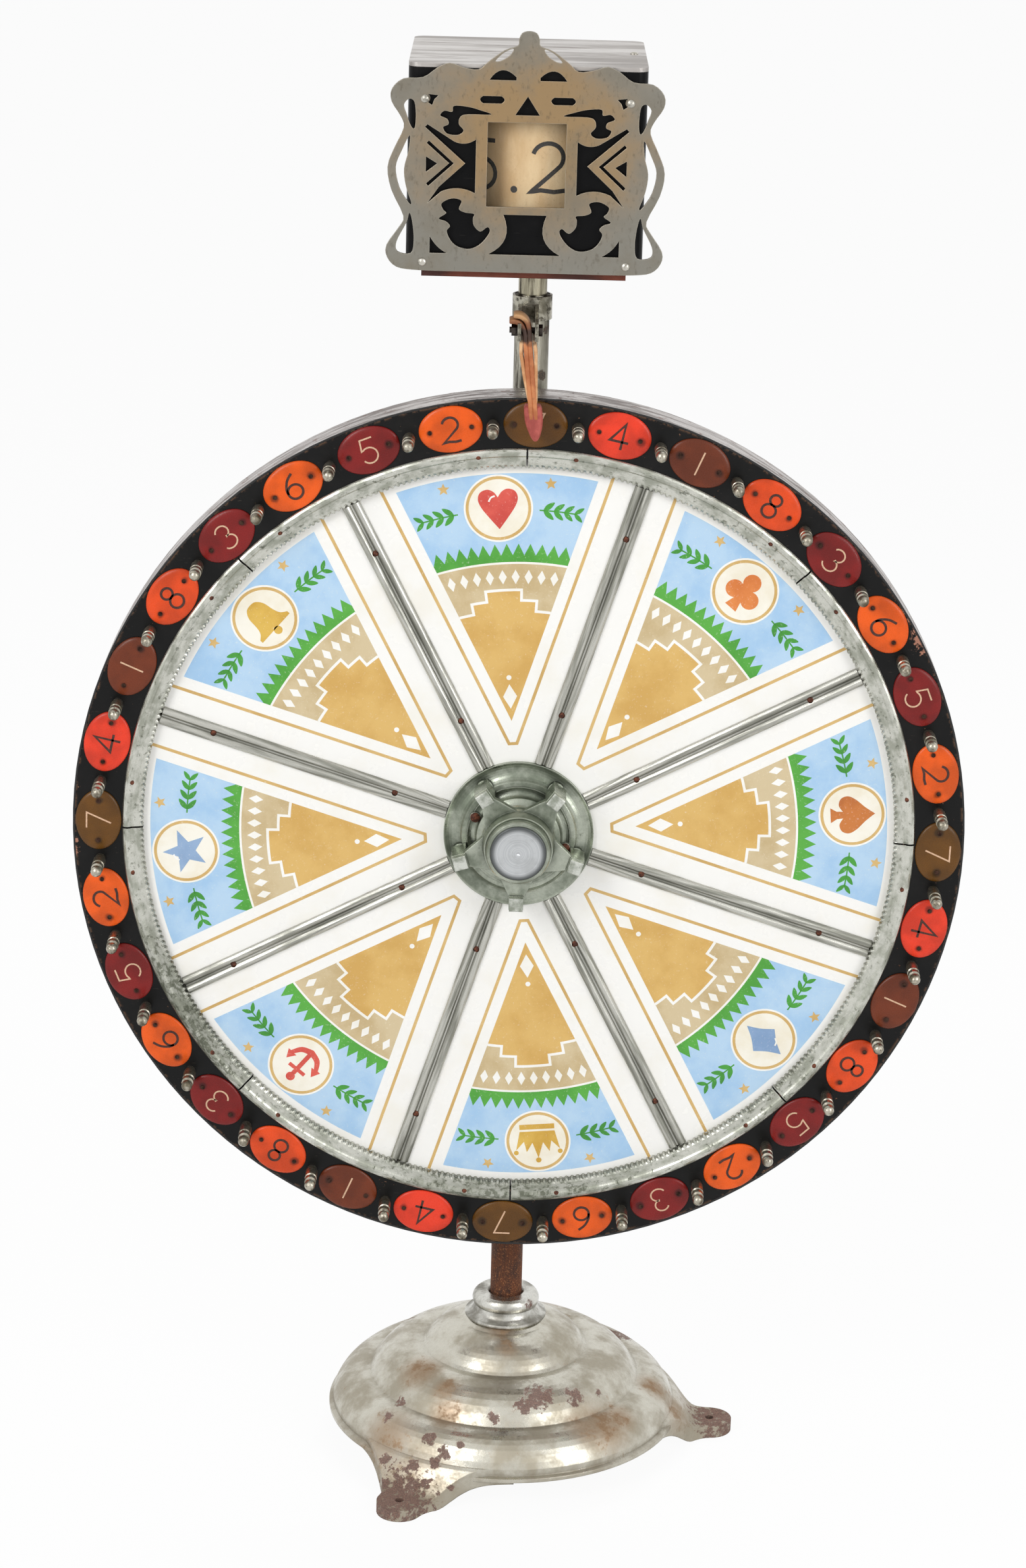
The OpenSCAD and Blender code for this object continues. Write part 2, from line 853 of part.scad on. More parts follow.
module dust_cap() {
  r = cap_d / 2;
  color(bright)
    on_axle()
      rotate_extrude()
        polygon([[0, hub_f - 7], [r, hub_f - 7], [r, hub_f + 1], [r - 1, hub_f + 2],
          [2, hub_f + 2], [0, hub_f + 1]]);
}

module friction_disc() {
  color([0.35, 0.22, 0.15])
    on_axle()
      tube(disc_r, disc_in, roller_r + pass, rear_f);
}

module friction_roller() {
  color([0.15, 0.13, 0.12])
    translate([0, 0, axle_z])
      tube(roller_r, shaft_r + fit, roller_low, roller_high);
}

// Shaft from the roller up to the drum, which rests on its shoulder
module drum_shaft() {
  color(steel) {
    rod(shaft_r, axle_z + roller_low - 13, drum_z + drum_h + 6);
    rod(shaft_r + 7, box_z + box_wall + stem_flange_t + pass, drum_z);
  }
}

module drum_ends() {
  color(timber)
    for (z = [drum_z, drum_z + drum_h - drum_end_t])
      tube(drum_r - drum_wall - fit, shaft_r + fit, z, z + drum_end_t);
}

module odds_drum() {
  color([0.85, 0.68, 0.45])
    tube(drum_r, drum_r - drum_wall, drum_z, drum_z + drum_h);
}

// Band round the post with two cheeks that reach forward over the rim
module flapper_bracket() {
  post_r = upper_post_d / 2;
  cheek_x = leather_t / 2 + pass;
  front = leather_y - leather_d / 2 - 3;
  color(iron)
    difference() {
      union() {
        tube(post_r + 2.5, post_r + fit, clamp_z, clamp_z + clamp_h);
        for (s = [-1, 1])
          translate([flapper_shift + s * (cheek_x + clamp_t / 2) - clamp_t / 2, front, clamp_z])
            cube([clamp_t, -front - post_r - 1, cheek_h]);
        translate([flapper_shift - cheek_x - clamp_t / 2, -post_r - 9, clamp_z])
          cube([2 * cheek_x + clamp_t, 8, cheek_h]);
      }
      translate([flapper_shift, leather_y, bracket_bolt_z])
        rotate([0, 90, 0])
          rod(bracket_bolt_r + fit, -40, 40);
    }
}

module bracket_bolt() {
  out = leather_t / 2 + pass + clamp_t;
  color(iron)
    translate([flapper_shift, leather_y, bracket_bolt_z])
      rotate([0, 90, 0]) {
        rod(bracket_bolt_r, -out - 8, out);
        translate([0, 0, out])
          cylinder(r = 6, h = 4, $fn = 6);
        difference() {
          translate([0, 0, -out - 6])
            cylinder(r = 6, h = 6, $fn = 6);
          rod(bracket_bolt_r + fit, -out - 7, -out + 1);
        }
      }
}

// Leather held between the cheeks, hollowed below for the bend
module flapper_root() {
  color(tan)
    difference() {
      translate([flapper_shift - leather_t / 2, leather_y - leather_d / 2, hinge_z])
        cube([leather_t, leather_d, root_top - hinge_z]);
      translate([flapper_shift, leather_y, hinge_z])
        rotate([90, 0, 0])
          rod(leather_t / 2 + pass, -leather_d, leather_d);
      translate([flapper_shift, leather_y, bracket_bolt_z])
        rotate([0, 90, 0])
          rod(bracket_bolt_r + fit, -leather_t, leather_t);
    }
}

// Puts a shape on the flapper's bend, leaning as it rests
module on_bend() {
  translate([flapper_shift, leather_y, hinge_z])
    rotate([0, -flapper_lean, 0])
      children();
}

// Free length of leather below the clamp
module flapper_tongue() {
  half = leather_t / 2;
  color(tan)
    on_bend()
      rotate([90, 0, 0])
        translate([0, 0, -leather_d / 2]) {
          cylinder(r = half, h = leather_d);
          linear_extrude(leather_d)
            polygon([[0.1 - half, 0], [half - 0.1, 0], [half - 1, tip_h - tongue_len],
              [1 - half, tip_h - tongue_len]]);
        }
}

// Red pad on the leather's end, rounded below
module flapper_tip() {
  half = tip_w / 2;
  color([0.75, 0.35, 0.33])
    on_bend()
      rotate([90, 0, 0])
        translate([0, 0, -leather_d / 2 - 1])
          linear_extrude(leather_d + 2)
            polygon(concat([[half, tip_h - tongue_len], [-half, tip_h - tongue_len]],
              crown([-half, 8 - tongue_len], [half, 8 - tongue_len], -8)));
}

// Plated stem of the box: it goes down into the post, and its flange bolts inside the box
module box_stem() {
  top = box_z + box_wall + stem_flange_t;
  color(bright)
    difference() {
      union() {
        rod(stem_r, post_top - stem_grip, top);
        rod(32, box_z + box_wall, top);
      }
      rod(stem_r - stem_wall, post_top - stem_grip - 1, top + 1);
    }
}

module box_board() {
  color([0.42, 0.2, 0.13])
    difference() {
      translate([box_shift - 100, -95, box_z - board_t])
        cube([200, 190, board_t]);
      rod(stem_r + fit, box_z - board_t - 1, box_z + 1);
    }
}

// Sheet box, open above, with a window in front and a hole for the stem
module box_shell() {
  color(black)
    difference() {
      translate([box_shift, 0, box_z])
        difference() {
          linear_extrude(box_h)
            polygon(soft_box(box_w, box_d, corner_r));
          translate([0, 0, box_wall])
            linear_extrude(box_h)
              polygon(soft_box(box_w - 2 * box_wall, box_d - 2 * box_wall, corner_r - box_wall));
          translate([-window_w / 2 - 1, -box_d / 2 - 1, window_low - 1])
            cube([window_w + 2, box_wall + 2, window_high - window_low + 2]);
          for (s = [-1, 1], h = plate_holes)
            translate([s * h[0], -box_d / 2 - 1, h[1]])
              rotate([-90, 0, 0])
                cylinder(r = box_screw_r + fit, h = box_wall + 2);
        }
      rod(stem_r + fit, box_z - 1, box_z + box_wall + 1);
    }
  color(black)
    difference() {
      translate([box_shift + lid_screw_x - 10, -12, lid_z - box_wall])
        cube([box_w / 2 - lid_screw_x + 10 - box_wall / 2, 24, box_wall]);
      lid_screw_hole();
    }
}

module lid_screw_hole() {
  translate([box_shift + lid_screw_x, 0, 0])
    rod(box_screw_r + fit, lid_z - box_wall - 1, lid_z + lid_t + 1);
}

module box_lid() {
  color([0.82, 0.8, 0.78])
    difference() {
      translate([box_shift, 0, lid_z])
        linear_extrude(lid_t)
          polygon(soft_box(box_w, box_d, corner_r));
      lid_screw_hole();
    }
}

module box_screws() {
  color(rust) {
    translate([box_shift + lid_screw_x, 0, lid_z + lid_t])
      round_screw(box_screw_r, lid_t + box_wall, box_head_r, 2.5);
    for (s = [-1, 1], h = plate_holes)
      translate([box_shift + s * h[0], plate_y - plate_t, box_z + h[1]])
        rotate([90, 0, 0])
          round_screw(box_screw_r, plate_t + plate_gap + box_wall, box_head_r, 2.5);
  }
}

module window_glass() {
  color([0.8, 0.85, 0.85, 0.4])
    translate([box_shift - window_w / 2 - glass_lap, box_wall - box_d / 2, box_z + window_low - glass_lap])
      cube([window_w + 2 * glass_lap, glass_t, window_high - window_low + 2 * glass_lap]);
}

// Right half of the plate's outer edge, from the crest down to the bottom
function plate_edge() = [[0, plate_h], [7, 231], [10, 225], [11, 219], [24, 214], [39, 203], [48, 195.5],
  [62, 197], [76, 201], [88, 196], [101, 187], [120, 185], [131, 175], [131, 163], [122, 149], [119, 138],
  [128, 118], [134, 100], [130, 78], [118, 53], [122, 42], [134, 24], [133, 12], [124, 3], [108, 0.5],
  [84, 0], [56, 0], [28, 0], [0, 0]];

// Right half of the scrolls cut through the plate: crest slit, upper scroll, lower scroll, three side gaps
function plate_scrolls() = [
  [[15, 216], [24, 212], [32, 204], [26, 204.5], [18, 210]],
  [[35, 152.8], [45, 156.5], [57, 159.5], [70.8, 160.2], [72.5, 154.5], [80, 155.3], [84, 150.7],
    [77.2, 147.5], [76, 142.5], [81, 139.5], [77, 133.5], [66.6, 132.5], [61.3, 136.9], [66, 143],
    [64.5, 150], [57, 152.5]],
  [[62, 69], [71.5, 71], [81, 66], [79.5, 60], [76.5, 56.5], [83.5, 51.2], [76.5, 48.5], [72.5, 44],
    [75.5, 39], [71.5, 30], [64, 24], [52.5, 22.4], [42, 28], [34, 39], [36, 44], [43, 39.5], [49.3, 45],
    [50.4, 52], [49.5, 56.5], [58, 57.6], [64.2, 61]],
  [[109, 163], [114, 166], [119, 160], [116, 150], [112, 140], [108.5, 138], [107.5, 150]],
  [[113, 131], [120, 117], [126, 100], [122, 80], [113, 66], [110.5, 66], [116, 82], [118, 99], [114, 116]],
  [[112, 56], [115, 46], [124, 28], [123, 18], [110, 17], [107.5, 30], [109, 46]]];

// Right half of the straight-sided openings: half moon, eyebrow, corner hole, wing, chevron, triangle, foot
function plate_cuts() = [
  concat([[11.5, 186]], crown([11.5, 189], [37.3, 186], 8)),
  concat(crown([25.5, 163.5], [25.5, 170.5], 3), crown([43, 170.5], [43, 163.5], 3)),
  [[86, 170], [96, 171], [96, 163], [92, 160.5], [90, 166]],
  concat([[49, 76.5]], crown([49, 128.5], [70, 126], -3), [[96, 142], [98.5, 139.5], [59, 105.2], [84, 82],
    [95, 66]], crown([82, 77.5], [49, 76.5], -4)),
  [[94.5, 126.5], [96.5, 124], [74.5, 105], [96.5, 85], [94.5, 82.5], [70, 105]],
  [[86, 104.5], [97, 111], [97, 96]],
  concat([[92, 17.5]], crown([92, 34], [75, 17.5], 2))];

// Cast plate in front of the box, pierced with scrolls round the window
module front_plate() {
  half = plate_edge();
  outline = concat(half, flip([for (p = half) if (p[0] > 0) [-p[0], p[1]]]));
  plinth = concat(crown([21, 56.5], [35, 17.5], -10), crown([-35, 17.5], [-21, 56.5], -10));
  color([0.68, 0.62, 0.52])
    translate([box_shift, plate_y, box_z])
      rotate([90, 0, 0])
        difference() {
          union() {
            linear_extrude(plate_t)
              polygon(smooth_loop(outline, 3));
            for (s = [-1, 1], h = plate_holes)
              translate([s * h[0], h[1], -plate_gap])
                cylinder(r = 5, h = plate_gap + 1);
          }
          translate([0, 0, -1])
            linear_extrude(plate_t + 2) {
              translate([-window_w / 2, window_low])
                square([window_w, window_high - window_low]);
              polygon([[-11.8, 152.8], [11.8, 152.8], [0, 170.8]]);
              polygon(plinth);
              for (m = [0, 1])
                mirror([m, 0]) {
                  for (loop = plate_scrolls())
                    polygon(smooth_loop(loop));
                  for (cut = plate_cuts())
                    polygon(cut);
                }
            }
          for (s = [-1, 1], h = plate_holes)
            translate([s * h[0], h[1], 0])
              rod(box_screw_r + fit, -plate_gap - 1, plate_t + 1);
        }
}

base_casting();
base_collar();
set_screws();
lower_post();
head_casting();
upper_post();
spindle();
spindle_nuts();
inner_races();
bearing_balls();
shaft_bushes();
wheel_rim();
rim_band();
front_board();
core_board();
back_board();
panel_1();
panel_2();
panel_3();
panel_4();
panel_5();
panel_6();
panel_7();
panel_8();
divider_strips();
trim_segments();
trim_screws();
tags_olive();
tags_red();
tags_brown();
tags_vermilion();
tags_maroon();
tags_orange();
tag_pins();
pegs();
hub_flange();
hub_spider();
hub_barrel();
hub_bolts();
hub_nuts();
flange_screws();
dust_cap();
outer_races();
friction_disc();
friction_roller();
drum_shaft();
drum_ends();
odds_drum();
flapper_bracket();
bracket_bolt();
flapper_root();
flapper_tongue();
flapper_tip();
box_stem();
box_board();
box_shell();
box_lid();
box_screws();
front_plate();
window_glass();
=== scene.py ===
import math

import bmesh
import bpy
from mathutils import Matrix, Vector


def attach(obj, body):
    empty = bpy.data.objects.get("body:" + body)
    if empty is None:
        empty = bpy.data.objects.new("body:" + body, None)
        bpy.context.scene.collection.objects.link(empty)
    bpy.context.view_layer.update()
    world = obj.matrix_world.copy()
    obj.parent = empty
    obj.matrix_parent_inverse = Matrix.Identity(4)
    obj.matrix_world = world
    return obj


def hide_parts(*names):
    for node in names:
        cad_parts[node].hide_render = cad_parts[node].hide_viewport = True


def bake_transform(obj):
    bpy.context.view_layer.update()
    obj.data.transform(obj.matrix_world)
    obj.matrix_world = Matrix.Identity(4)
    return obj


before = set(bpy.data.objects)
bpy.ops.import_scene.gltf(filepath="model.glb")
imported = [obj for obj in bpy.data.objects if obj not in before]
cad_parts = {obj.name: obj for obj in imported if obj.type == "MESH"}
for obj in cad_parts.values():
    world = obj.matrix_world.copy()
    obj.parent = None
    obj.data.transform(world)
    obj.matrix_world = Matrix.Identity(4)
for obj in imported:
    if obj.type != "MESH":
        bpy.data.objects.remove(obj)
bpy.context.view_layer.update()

# Base casting
# The foot of the stand is one hollow iron casting, turned in steps and nickel plated.
# The plating has flaked off in patches, and the three arched feet are bare, rusty iron.
MM = 0.001
BASE_BARE = [(38, -117, 95, 33), (22, -128, 90, 22), (75, -106, 91, 23), (-10, -140, 80, 14),
             (102, -88, 86, 10), (-110, -95, 73, 13), (-123, -115, 66, 15), (-77, -155, 62, 16),
             (-62, -170, 53, 17), (-70, -173, 43, 13), (-124, -152, 34, 15), (-94, -169, 37, 14),
             (-45, -167, 62, 9), (-110, -196, 6, 82), (-80, -186, 24, 15), (-52, -193, 25, 10),
             (236, 8, 6, 66), (-121, 193, 6, 66), (128, 92, 68, 34), (20, 150, 74, 26), (-100, 60, 90, 18)]
BASE_STAIN = [(108, -125, 67, 44), (87, -135, 69, 32), (123, -106, 68, 30), (-89, -71, 101, 36),
              (-61, -107, 96, 24), (3, -65, 127, 18), (-122, -134, 53, 46), (-4, -42, 137, 24),
              (164, -28, 66, 30), (60, 130, 80, 60), (-150, -150, 20, 60), (190, -30, 30, 40),
              (-60, -130, 80, 30), (-110, -196, 8, 84), (236, 8, 8, 70), (-121, 193, 8, 70)]


def tint(red, green, blue):
    """Linear shader colour of a colour as it is seen, 0 to 255."""
    seen = [value / 255 for value in (red, green, blue)]
    return (*[v / 12.92 if v <= 0.04045 else ((v + 0.055) / 1.055) ** 2.4 for v in seen], 1.0)


def join(tree, node, feeds):
    """Feeds a node's inputs with values or with other nodes' sockets."""
    for key, value in feeds.items():
        if isinstance(value, bpy.types.NodeSocket):
            tree.links.new(value, node.inputs[key])
        else:
            node.inputs[key].default_value = value


def put(tree, kind, feeds=None, **settings):
    """Adds a node, sets it up and feeds it."""
    made = tree.nodes.new("ShaderNode" + kind)
    for key, value in settings.items():
        setattr(made, key, value)
    join(tree, made, feeds or {})
    return made


def mixed(tree, share, first, second):
    """Second colour laid over the first by a share."""
    return put(tree, "Mix", {0: share, 6: first, 7: second}, data_type="RGBA").outputs[2]


def calc(tree, operation, first, second=0.0):
    return put(tree, "Math", {0: first, 1: second}, operation=operation).outputs[0]


def times(tree, first, second):
    return calc(tree, "MULTIPLY", first, second)


def plus(tree, first, second):
    return calc(tree, "ADD", first, second)


def less(tree, first, second):
    return calc(tree, "SUBTRACT", first, second)


def most(tree, first, second):
    return calc(tree, "MAXIMUM", first, second)


def spread(tree, value, low, high, to_low=0.0, to_high=1.0):
    """A value's stretch from low to high, eased onto another stretch."""
    return put(tree, "MapRange", {"Value": value, "From Min": low, "From Max": high, "To Min": to_low,
                                  "To Max": to_high}, interpolation_type="SMOOTHSTEP").outputs[0]


def veil(tree, colour, value, low, high, over, share=1.0):
    """A colour with a tint laid over it, more and more as a value goes from low to high."""
    return mixed(tree, spread(tree, value, low, high, 0.0, share), colour, tint(*over))


def noise(tree, vector, scale, detail=4.0, rough=0.55):
    return put(tree, "TexNoise", {"Vector": vector, "Scale": scale, "Detail": detail,
                                  "Roughness": rough}).outputs[0]


def new_group(name, takes, gives):
    """A node group with named sockets, and the sockets inside it."""
    tree = bpy.data.node_groups.new(name, "ShaderNodeTree")
    for label, kind, start in takes:
        socket = tree.interface.new_socket(label, in_out="INPUT", socket_type="NodeSocket" + kind)
        if start is not None:
            socket.default_value = start
    for label, kind in gives:
        tree.interface.new_socket(label, in_out="OUTPUT", socket_type="NodeSocket" + kind)
    return tree, tree.nodes.new("NodeGroupInput").outputs, tree.nodes.new("NodeGroupOutput").inputs


def close_group(tree, ends, **sockets):
    for label, socket in sockets.items():
        tree.links.new(socket, ends[label])


# Clouded old plating: bright and dull areas, stains, and the roughness that goes with them
plating, have, give = new_group("old_plating", [
    ("Vector", "Vector", None), ("Scale", "Float", 20.0), ("Bright", "Color", None),
    ("Dull", "Color", None), ("Stain", "Color", None), ("Stained", "Float", 0.3), ("Matt", "Float", 0.0)],
    [("Color", "Color"), ("Roughness", "Float"), ("Height", "Float")])
cloud = noise(plating, have["Vector"], have["Scale"], 7.0, 0.62)
grain = noise(plating, have["Vector"], times(plating, have["Scale"], 14.0), 3.0)
spots = noise(plating, have["Vector"], times(plating, have["Scale"], 2.7), 6.0, 0.7)
bright = spread(plating, cloud, 0.36, 0.62)
edge = less(plating, 0.78, times(plating, have["Stained"], 0.5))
stained = spread(plating, spots, edge, plus(plating, edge, 0.14))
tone = mixed(plating, bright, have["Dull"], have["Bright"])
tone = mixed(plating, times(plating, stained, 0.85), tone, have["Stain"])
tone = mixed(plating, spread(plating, grain, 0.3, 0.75, 0.0, 0.16), tone, have["Dull"])
rough = plus(plating, spread(plating, bright, 0.0, 1.0, 0.44, 0.25), times(plating, stained, 0.22))
rough = plus(plating, rough, spread(plating, grain, 0.3, 0.7, -0.05, 0.07))
rough = plus(plating, rough, have["Matt"])
height = plus(plating, times(plating, grain, 0.25), times(plating, cloud, 0.5))
close_group(plating, give, Color=tone, Roughness=rough, Height=height)

# Rust where plating or paint has gone: hard-edged flakes, dark iron and orange bloom
rusting, have, give = new_group("flaked_rust", [
    ("Vector", "Vector", None), ("Scale", "Float", 60.0), ("Amount", "Float", 0.2),
    ("Dark", "Color", None), ("Bloom", "Color", None)],
    [("Mask", "Float"), ("Color", "Color"), ("Height", "Float")])
flake = noise(rusting, have["Vector"], have["Scale"], 8.0, 0.66)
pits = noise(rusting, have["Vector"], times(rusting, have["Scale"], 5.0), 3.0, 0.6)
edge = less(rusting, 0.82, times(rusting, have["Amount"], 0.5))
level = plus(rusting, times(rusting, flake, 0.86), times(rusting, pits, 0.14))
bare = spread(rusting, level, edge, plus(rusting, edge, 0.09))
tone = mixed(rusting, spread(rusting, pits, 0.38, 0.7), have["Dark"], have["Bloom"])
close_group(rusting, give, Mask=bare, Color=tone, Height=pits)

# Dirt and painted shade that gather in corners, and the edges, which a hand or a cloth rubs bright and
# which also take a painted highlight
corners, have, give = new_group("corner_dirt_and_shade", [("Reach", "Float", 0.006)],
                                [("Mask", "Float"), ("Edge", "Float")])
inner = put(corners, "AmbientOcclusion", {"Distance": have["Reach"]}, samples=6, only_local=True)
outer = put(corners, "AmbientOcclusion", {"Distance": times(corners, have["Reach"], 0.25)},
            samples=6, only_local=True, inside=True)
close_group(corners, give, Mask=spread(corners, inner.outputs["AO"], 0.95, 0.35),
            Edge=spread(corners, outer.outputs["AO"], 0.85, 0.35))


def corner_of(tree, reach):
    """The masks of corners and edges in a material, their reach in metres."""
    return put(tree, "Group", {"Reach": reach}, node_tree=corners)


def new_material(name):
    """An empty material with its shader, and the place of each point on the piece."""
    material = bpy.data.materials.new(name)
    material.use_nodes = True
    tree = material.node_tree
    shader = tree.nodes["Principled BSDF"]
    return material, tree, shader, put(tree, "TexCoord").outputs["Object"]


def feed(tree, shader, **sockets):
    """Gives the shader its colour, metal, roughness and so on, as values or as sockets."""
    names = {"colour": "Base Color", "metal": "Metallic", "rough": "Roughness", "normal": "Normal",
             "gloss": "Specular IOR Level", "alpha": "Alpha"}
    join(tree, shader, {names[key]: value for key, value in sockets.items()})


def bumped(tree, height, depth, soften=0.0):
    """Normal of a surface with a relief in metres, its sharp edges eased by a small radius."""
    feeds = {"Height": height, "Distance": depth, "Strength": 1.0}
    if soften:
        feeds["Normal"] = put(tree, "Bevel", {"Radius": soften}, samples=4).outputs[0]
    return put(tree, "Bump", feeds).outputs[0]


def stretched(tree, place, scale):
    return put(tree, "Mapping", {"Vector": place, "Scale": scale}).outputs[0]


def near(tree, place, x, y, z, reach):
    """One close to a point given in millimetres, nothing beyond its reach."""
    away = put(tree, "VectorMath", {0: place, 1: (x * MM, y * MM, z * MM)}, operation="DISTANCE")
    return spread(tree, away.outputs["Value"], reach * MM, 0.15 * reach * MM)


def near_any(tree, place, spots):
    """The strongest of several such places."""
    total = near(tree, place, *spots[0])
    for spot in spots[1:]:
        total = most(tree, total, near(tree, place, *spot))
    return total


def plated(name, bright, dull, stain, stained, scale, rust, rust_scale, along=None, place_of=None,
           bare=(), stains_and_shade=(), dirt_and_shade=0.5, reach=0.006, dirt_and_shade_tint=(52, 50, 42), rub_and_highlight=0.0, matt=0.0, grime_and_shade=0.0,
           painted=None, depth=0.0002, soften=0.0005, rust_tints=((88, 66, 62), (150, 92, 58))):
    """Old plated metal: three tones and their share of stain, the clouds' scale, the rust's amount and
    scale, then where it is bare, where it is stained, where a painted shadow lies, its corners darkened
    by dirt and painted shade, its edges rubbed bright with a painted highlight, painted darker low down
    as painted shade, and painted black towards its front."""
    material, tree, shader, place = new_material(name)
    pattern = place_of(tree, place) if place_of else stretched(tree, place, along) if along else place
    marked = stained
    if stains_and_shade:
        stain_and_shade_share = near_any(tree, place, stains_and_shade)
        marked = plus(tree, stained, times(tree, stain_and_shade_share, 0.34))
    metal = put(tree, "Group", {
        "Vector": pattern, "Scale": scale, "Bright": tint(*bright), "Dull": tint(*dull),
        "Stain": tint(*stain), "Stained": marked, "Matt": matt}, node_tree=plating)
    amount = rust
    if bare:
        amount = plus(tree, rust, times(tree, near_any(tree, place, bare), 0.7))
    gone = put(tree, "Group", {
        "Vector": place, "Scale": rust_scale, "Amount": amount,
        "Dark": tint(*rust_tints[0]), "Bloom": tint(*rust_tints[1])}, node_tree=rusting)
    flaked = gone.outputs["Mask"]
    corner = corner_of(tree, reach)
    colour = metal.outputs["Color"]
    # Spots laid in the stain tint: real stains, and on the post a painted shadow ring
    if stains_and_shade:
        colour = mixed(tree, times(tree, stain_and_shade_share, 0.7), colour, tint(*stain))
    # Painted shade: darker with the dull tone below a height given in millimetres
    if grime_and_shade:
        height = put(tree, "SeparateXYZ", {0: place}).outputs[2]
        low = spread(tree, height, grime_and_shade * MM, 0.2 * grime_and_shade * MM, 0.0, 0.8)
        colour = mixed(tree, low, colour, tint(*dull))
    # Edges rubbed bright, which also paints a highlight on them
    if rub_and_highlight:
        colour = mixed(tree, times(tree, corner.outputs["Edge"], rub_and_highlight), colour, tint(*bright))
    # Corners darkened with the dirt tint: dirt and painted shade
    colour = mixed(tree, times(tree, corner.outputs["Mask"], dirt_and_shade), colour, tint(*dirt_and_shade_tint))
    colour = mixed(tree, times(tree, flaked, 0.88), colour, gone.outputs["Color"])
    rough = plus(tree, metal.outputs["Roughness"], times(tree, corner.outputs["Mask"], 0.2 * dirt_and_shade))
    rough = plus(tree, rough, times(tree, flaked, 0.35))
    if stains_and_shade:
        rough = plus(tree, rough, times(tree, stain_and_shade_share, 0.15))
    relief = less(tree, metal.outputs["Height"], times(tree, flaked, 1.2))
    relief = plus(tree, relief, times(tree, times(tree, flaked, gone.outputs["Height"]), 1.5))
    metallic = spread(tree, flaked, 0.0, 1.0, 1.0, 0.12)
    if painted is not None:
        deep = put(tree, "SeparateXYZ", {0: place}).outputs[1]
        paint_edge = spread(tree, deep, (painted + 0.6) * MM, painted * MM)
        colour = mixed(tree, paint_edge, colour, tint(22, 20, 19))
        metallic = times(tree, metallic, less(tree, 1.0, paint_edge))
    feed(tree, shader, colour=colour, rough=rough, metal=metallic,
         normal=bumped(tree, relief, depth, soften))
    return material


def finish(material, *names):
    """Gives solids of the frame their material."""
    for name in names:
        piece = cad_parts[name]
        if not piece.material_slots:
            piece.data.materials.append(material)
        for slot in piece.material_slots:
            slot.material = material


# The base's step corners are darkened as dirt and painted shade, and its lowest 50 mm is painted darker as
# painted shade.
finish(plated("base_nickel", (206, 203, 191), (167, 160, 144), (156, 130, 103), 0.3, 24.0, 0.2, 150.0,
              bare=BASE_BARE, stains_and_shade=BASE_STAIN, dirt_and_shade=0.75, reach=0.016, dirt_and_shade_tint=(84, 73, 58), matt=-0.02,
              grime_and_shade=50.0, depth=0.0003, soften=0.0016, rust_tints=((104, 78, 72), (146, 112, 98))),
       "base_casting")

# Collar on the base and its set screws
# A turned collar, brighter than the base because it was rubbed, pins the pipe in its socket.
# One side has lost its plating; the square-headed screws are plain steel.
COLLAR_BARE = [(26, -25, 159, 14), (-30, 20, 152, 14)]
finish(plated("collar_nickel", (216, 215, 208), (138, 135, 126), (104, 88, 68), 0.32, 34.0, 0.1, 120.0,
              bare=COLLAR_BARE, dirt_and_shade=0.7, reach=0.01, soften=0.0012,
              rust_tints=((98, 70, 64), (132, 92, 78))), "base_collar")
screw_steel = plated("screw_steel", (150, 146, 138), (96, 90, 84), (82, 58, 42), 0.4, 120.0, 0.35, 300.0)
finish(screw_steel, "set_screws", "spindle_nuts", "hub_nuts")

# Lower post
# Plain iron pipe, never plated below the wheel, and pinned in the collar below and the head above.
# It has an even coat of brown rust with orange grains.
material, tree, shader, place = new_material("post_rust")
coarse = noise(tree, stretched(tree, place, (1, 1, 0.35)), 90.0, 6.0, 0.65)
grains = noise(tree, place, 620.0, 3.0, 0.6)
colour = veil(tree, tint(52, 30, 21), coarse, 0.32, 0.66, (112, 66, 41))
colour = veil(tree, colour, grains, 0.56, 0.68, (166, 110, 70))
colour = veil(tree, colour, grains, 0.42, 0.3, (52, 32, 24))
feed(tree, shader, colour=colour, rough=spread(tree, coarse, 0.3, 0.7, 0.62, 0.85), metal=0.15,
     normal=bumped(tree, plus(tree, coarse, times(tree, grains, 0.5)), 0.0005))
finish(material, "lower_post")

# Head casting, spindle and bearings
# The iron head joins both pipes behind the wheel and holds the spindle with its ball bearings.
# It was painted black once, and oil keeps the turned steel clean.
finish(plated("head_iron", (84, 82, 80), (46, 44, 43), (78, 56, 42), 0.35, 40.0, 0.2, 90.0, soften=0.001,
              dirt_and_shade=0.4, reach=0.01, depth=0.0005, rub_and_highlight=0.35), "head_casting")
finish(plated("turned_steel", (190, 190, 188), (150, 150, 148), (110, 98, 84), 0.15, 30.0, 0.02, 150.0),
       "spindle", "inner_races", "outer_races", "bearing_balls")
finish(plated("bush_bronze", (176, 138, 84), (132, 98, 58), (84, 62, 38), 0.3, 60.0, 0.0, 150.0),
       "shaft_bushes", "drum_ends")

# Upper post
# Nickel-plated tube between wheel and box, pinned in the iron head. The plating is worn to long
# pale and dark streaks, and a painted shadow in the stain tint darkens the tube's upper edge.
POST_TOP, POST_R = 1260, 17
POST_RIM_SHADOW = [(POST_R * math.cos(math.radians(45 * k)), POST_R * math.sin(math.radians(45 * k)), POST_TOP, 5)
            for k in range(8)]
POST_BARE = [(12, -14, 1180, 12), (-9, -15, 1206, 9), (14, -10, 1225, 10), (0, -17, 1160, 10),
             (-12, 12, 1100, 20)]
finish(plated("post_nickel", (184, 180, 166), (102, 98, 86), (46, 41, 33), 0.58, 46.0, 0.24, 140.0,
              along=(1, 1, 0.12), bare=POST_BARE, stains_and_shade=POST_RIM_SHADOW, dirt_and_shade=0.4,
              rust_tints=((58, 50, 44), (104, 80, 62))), "upper_post")

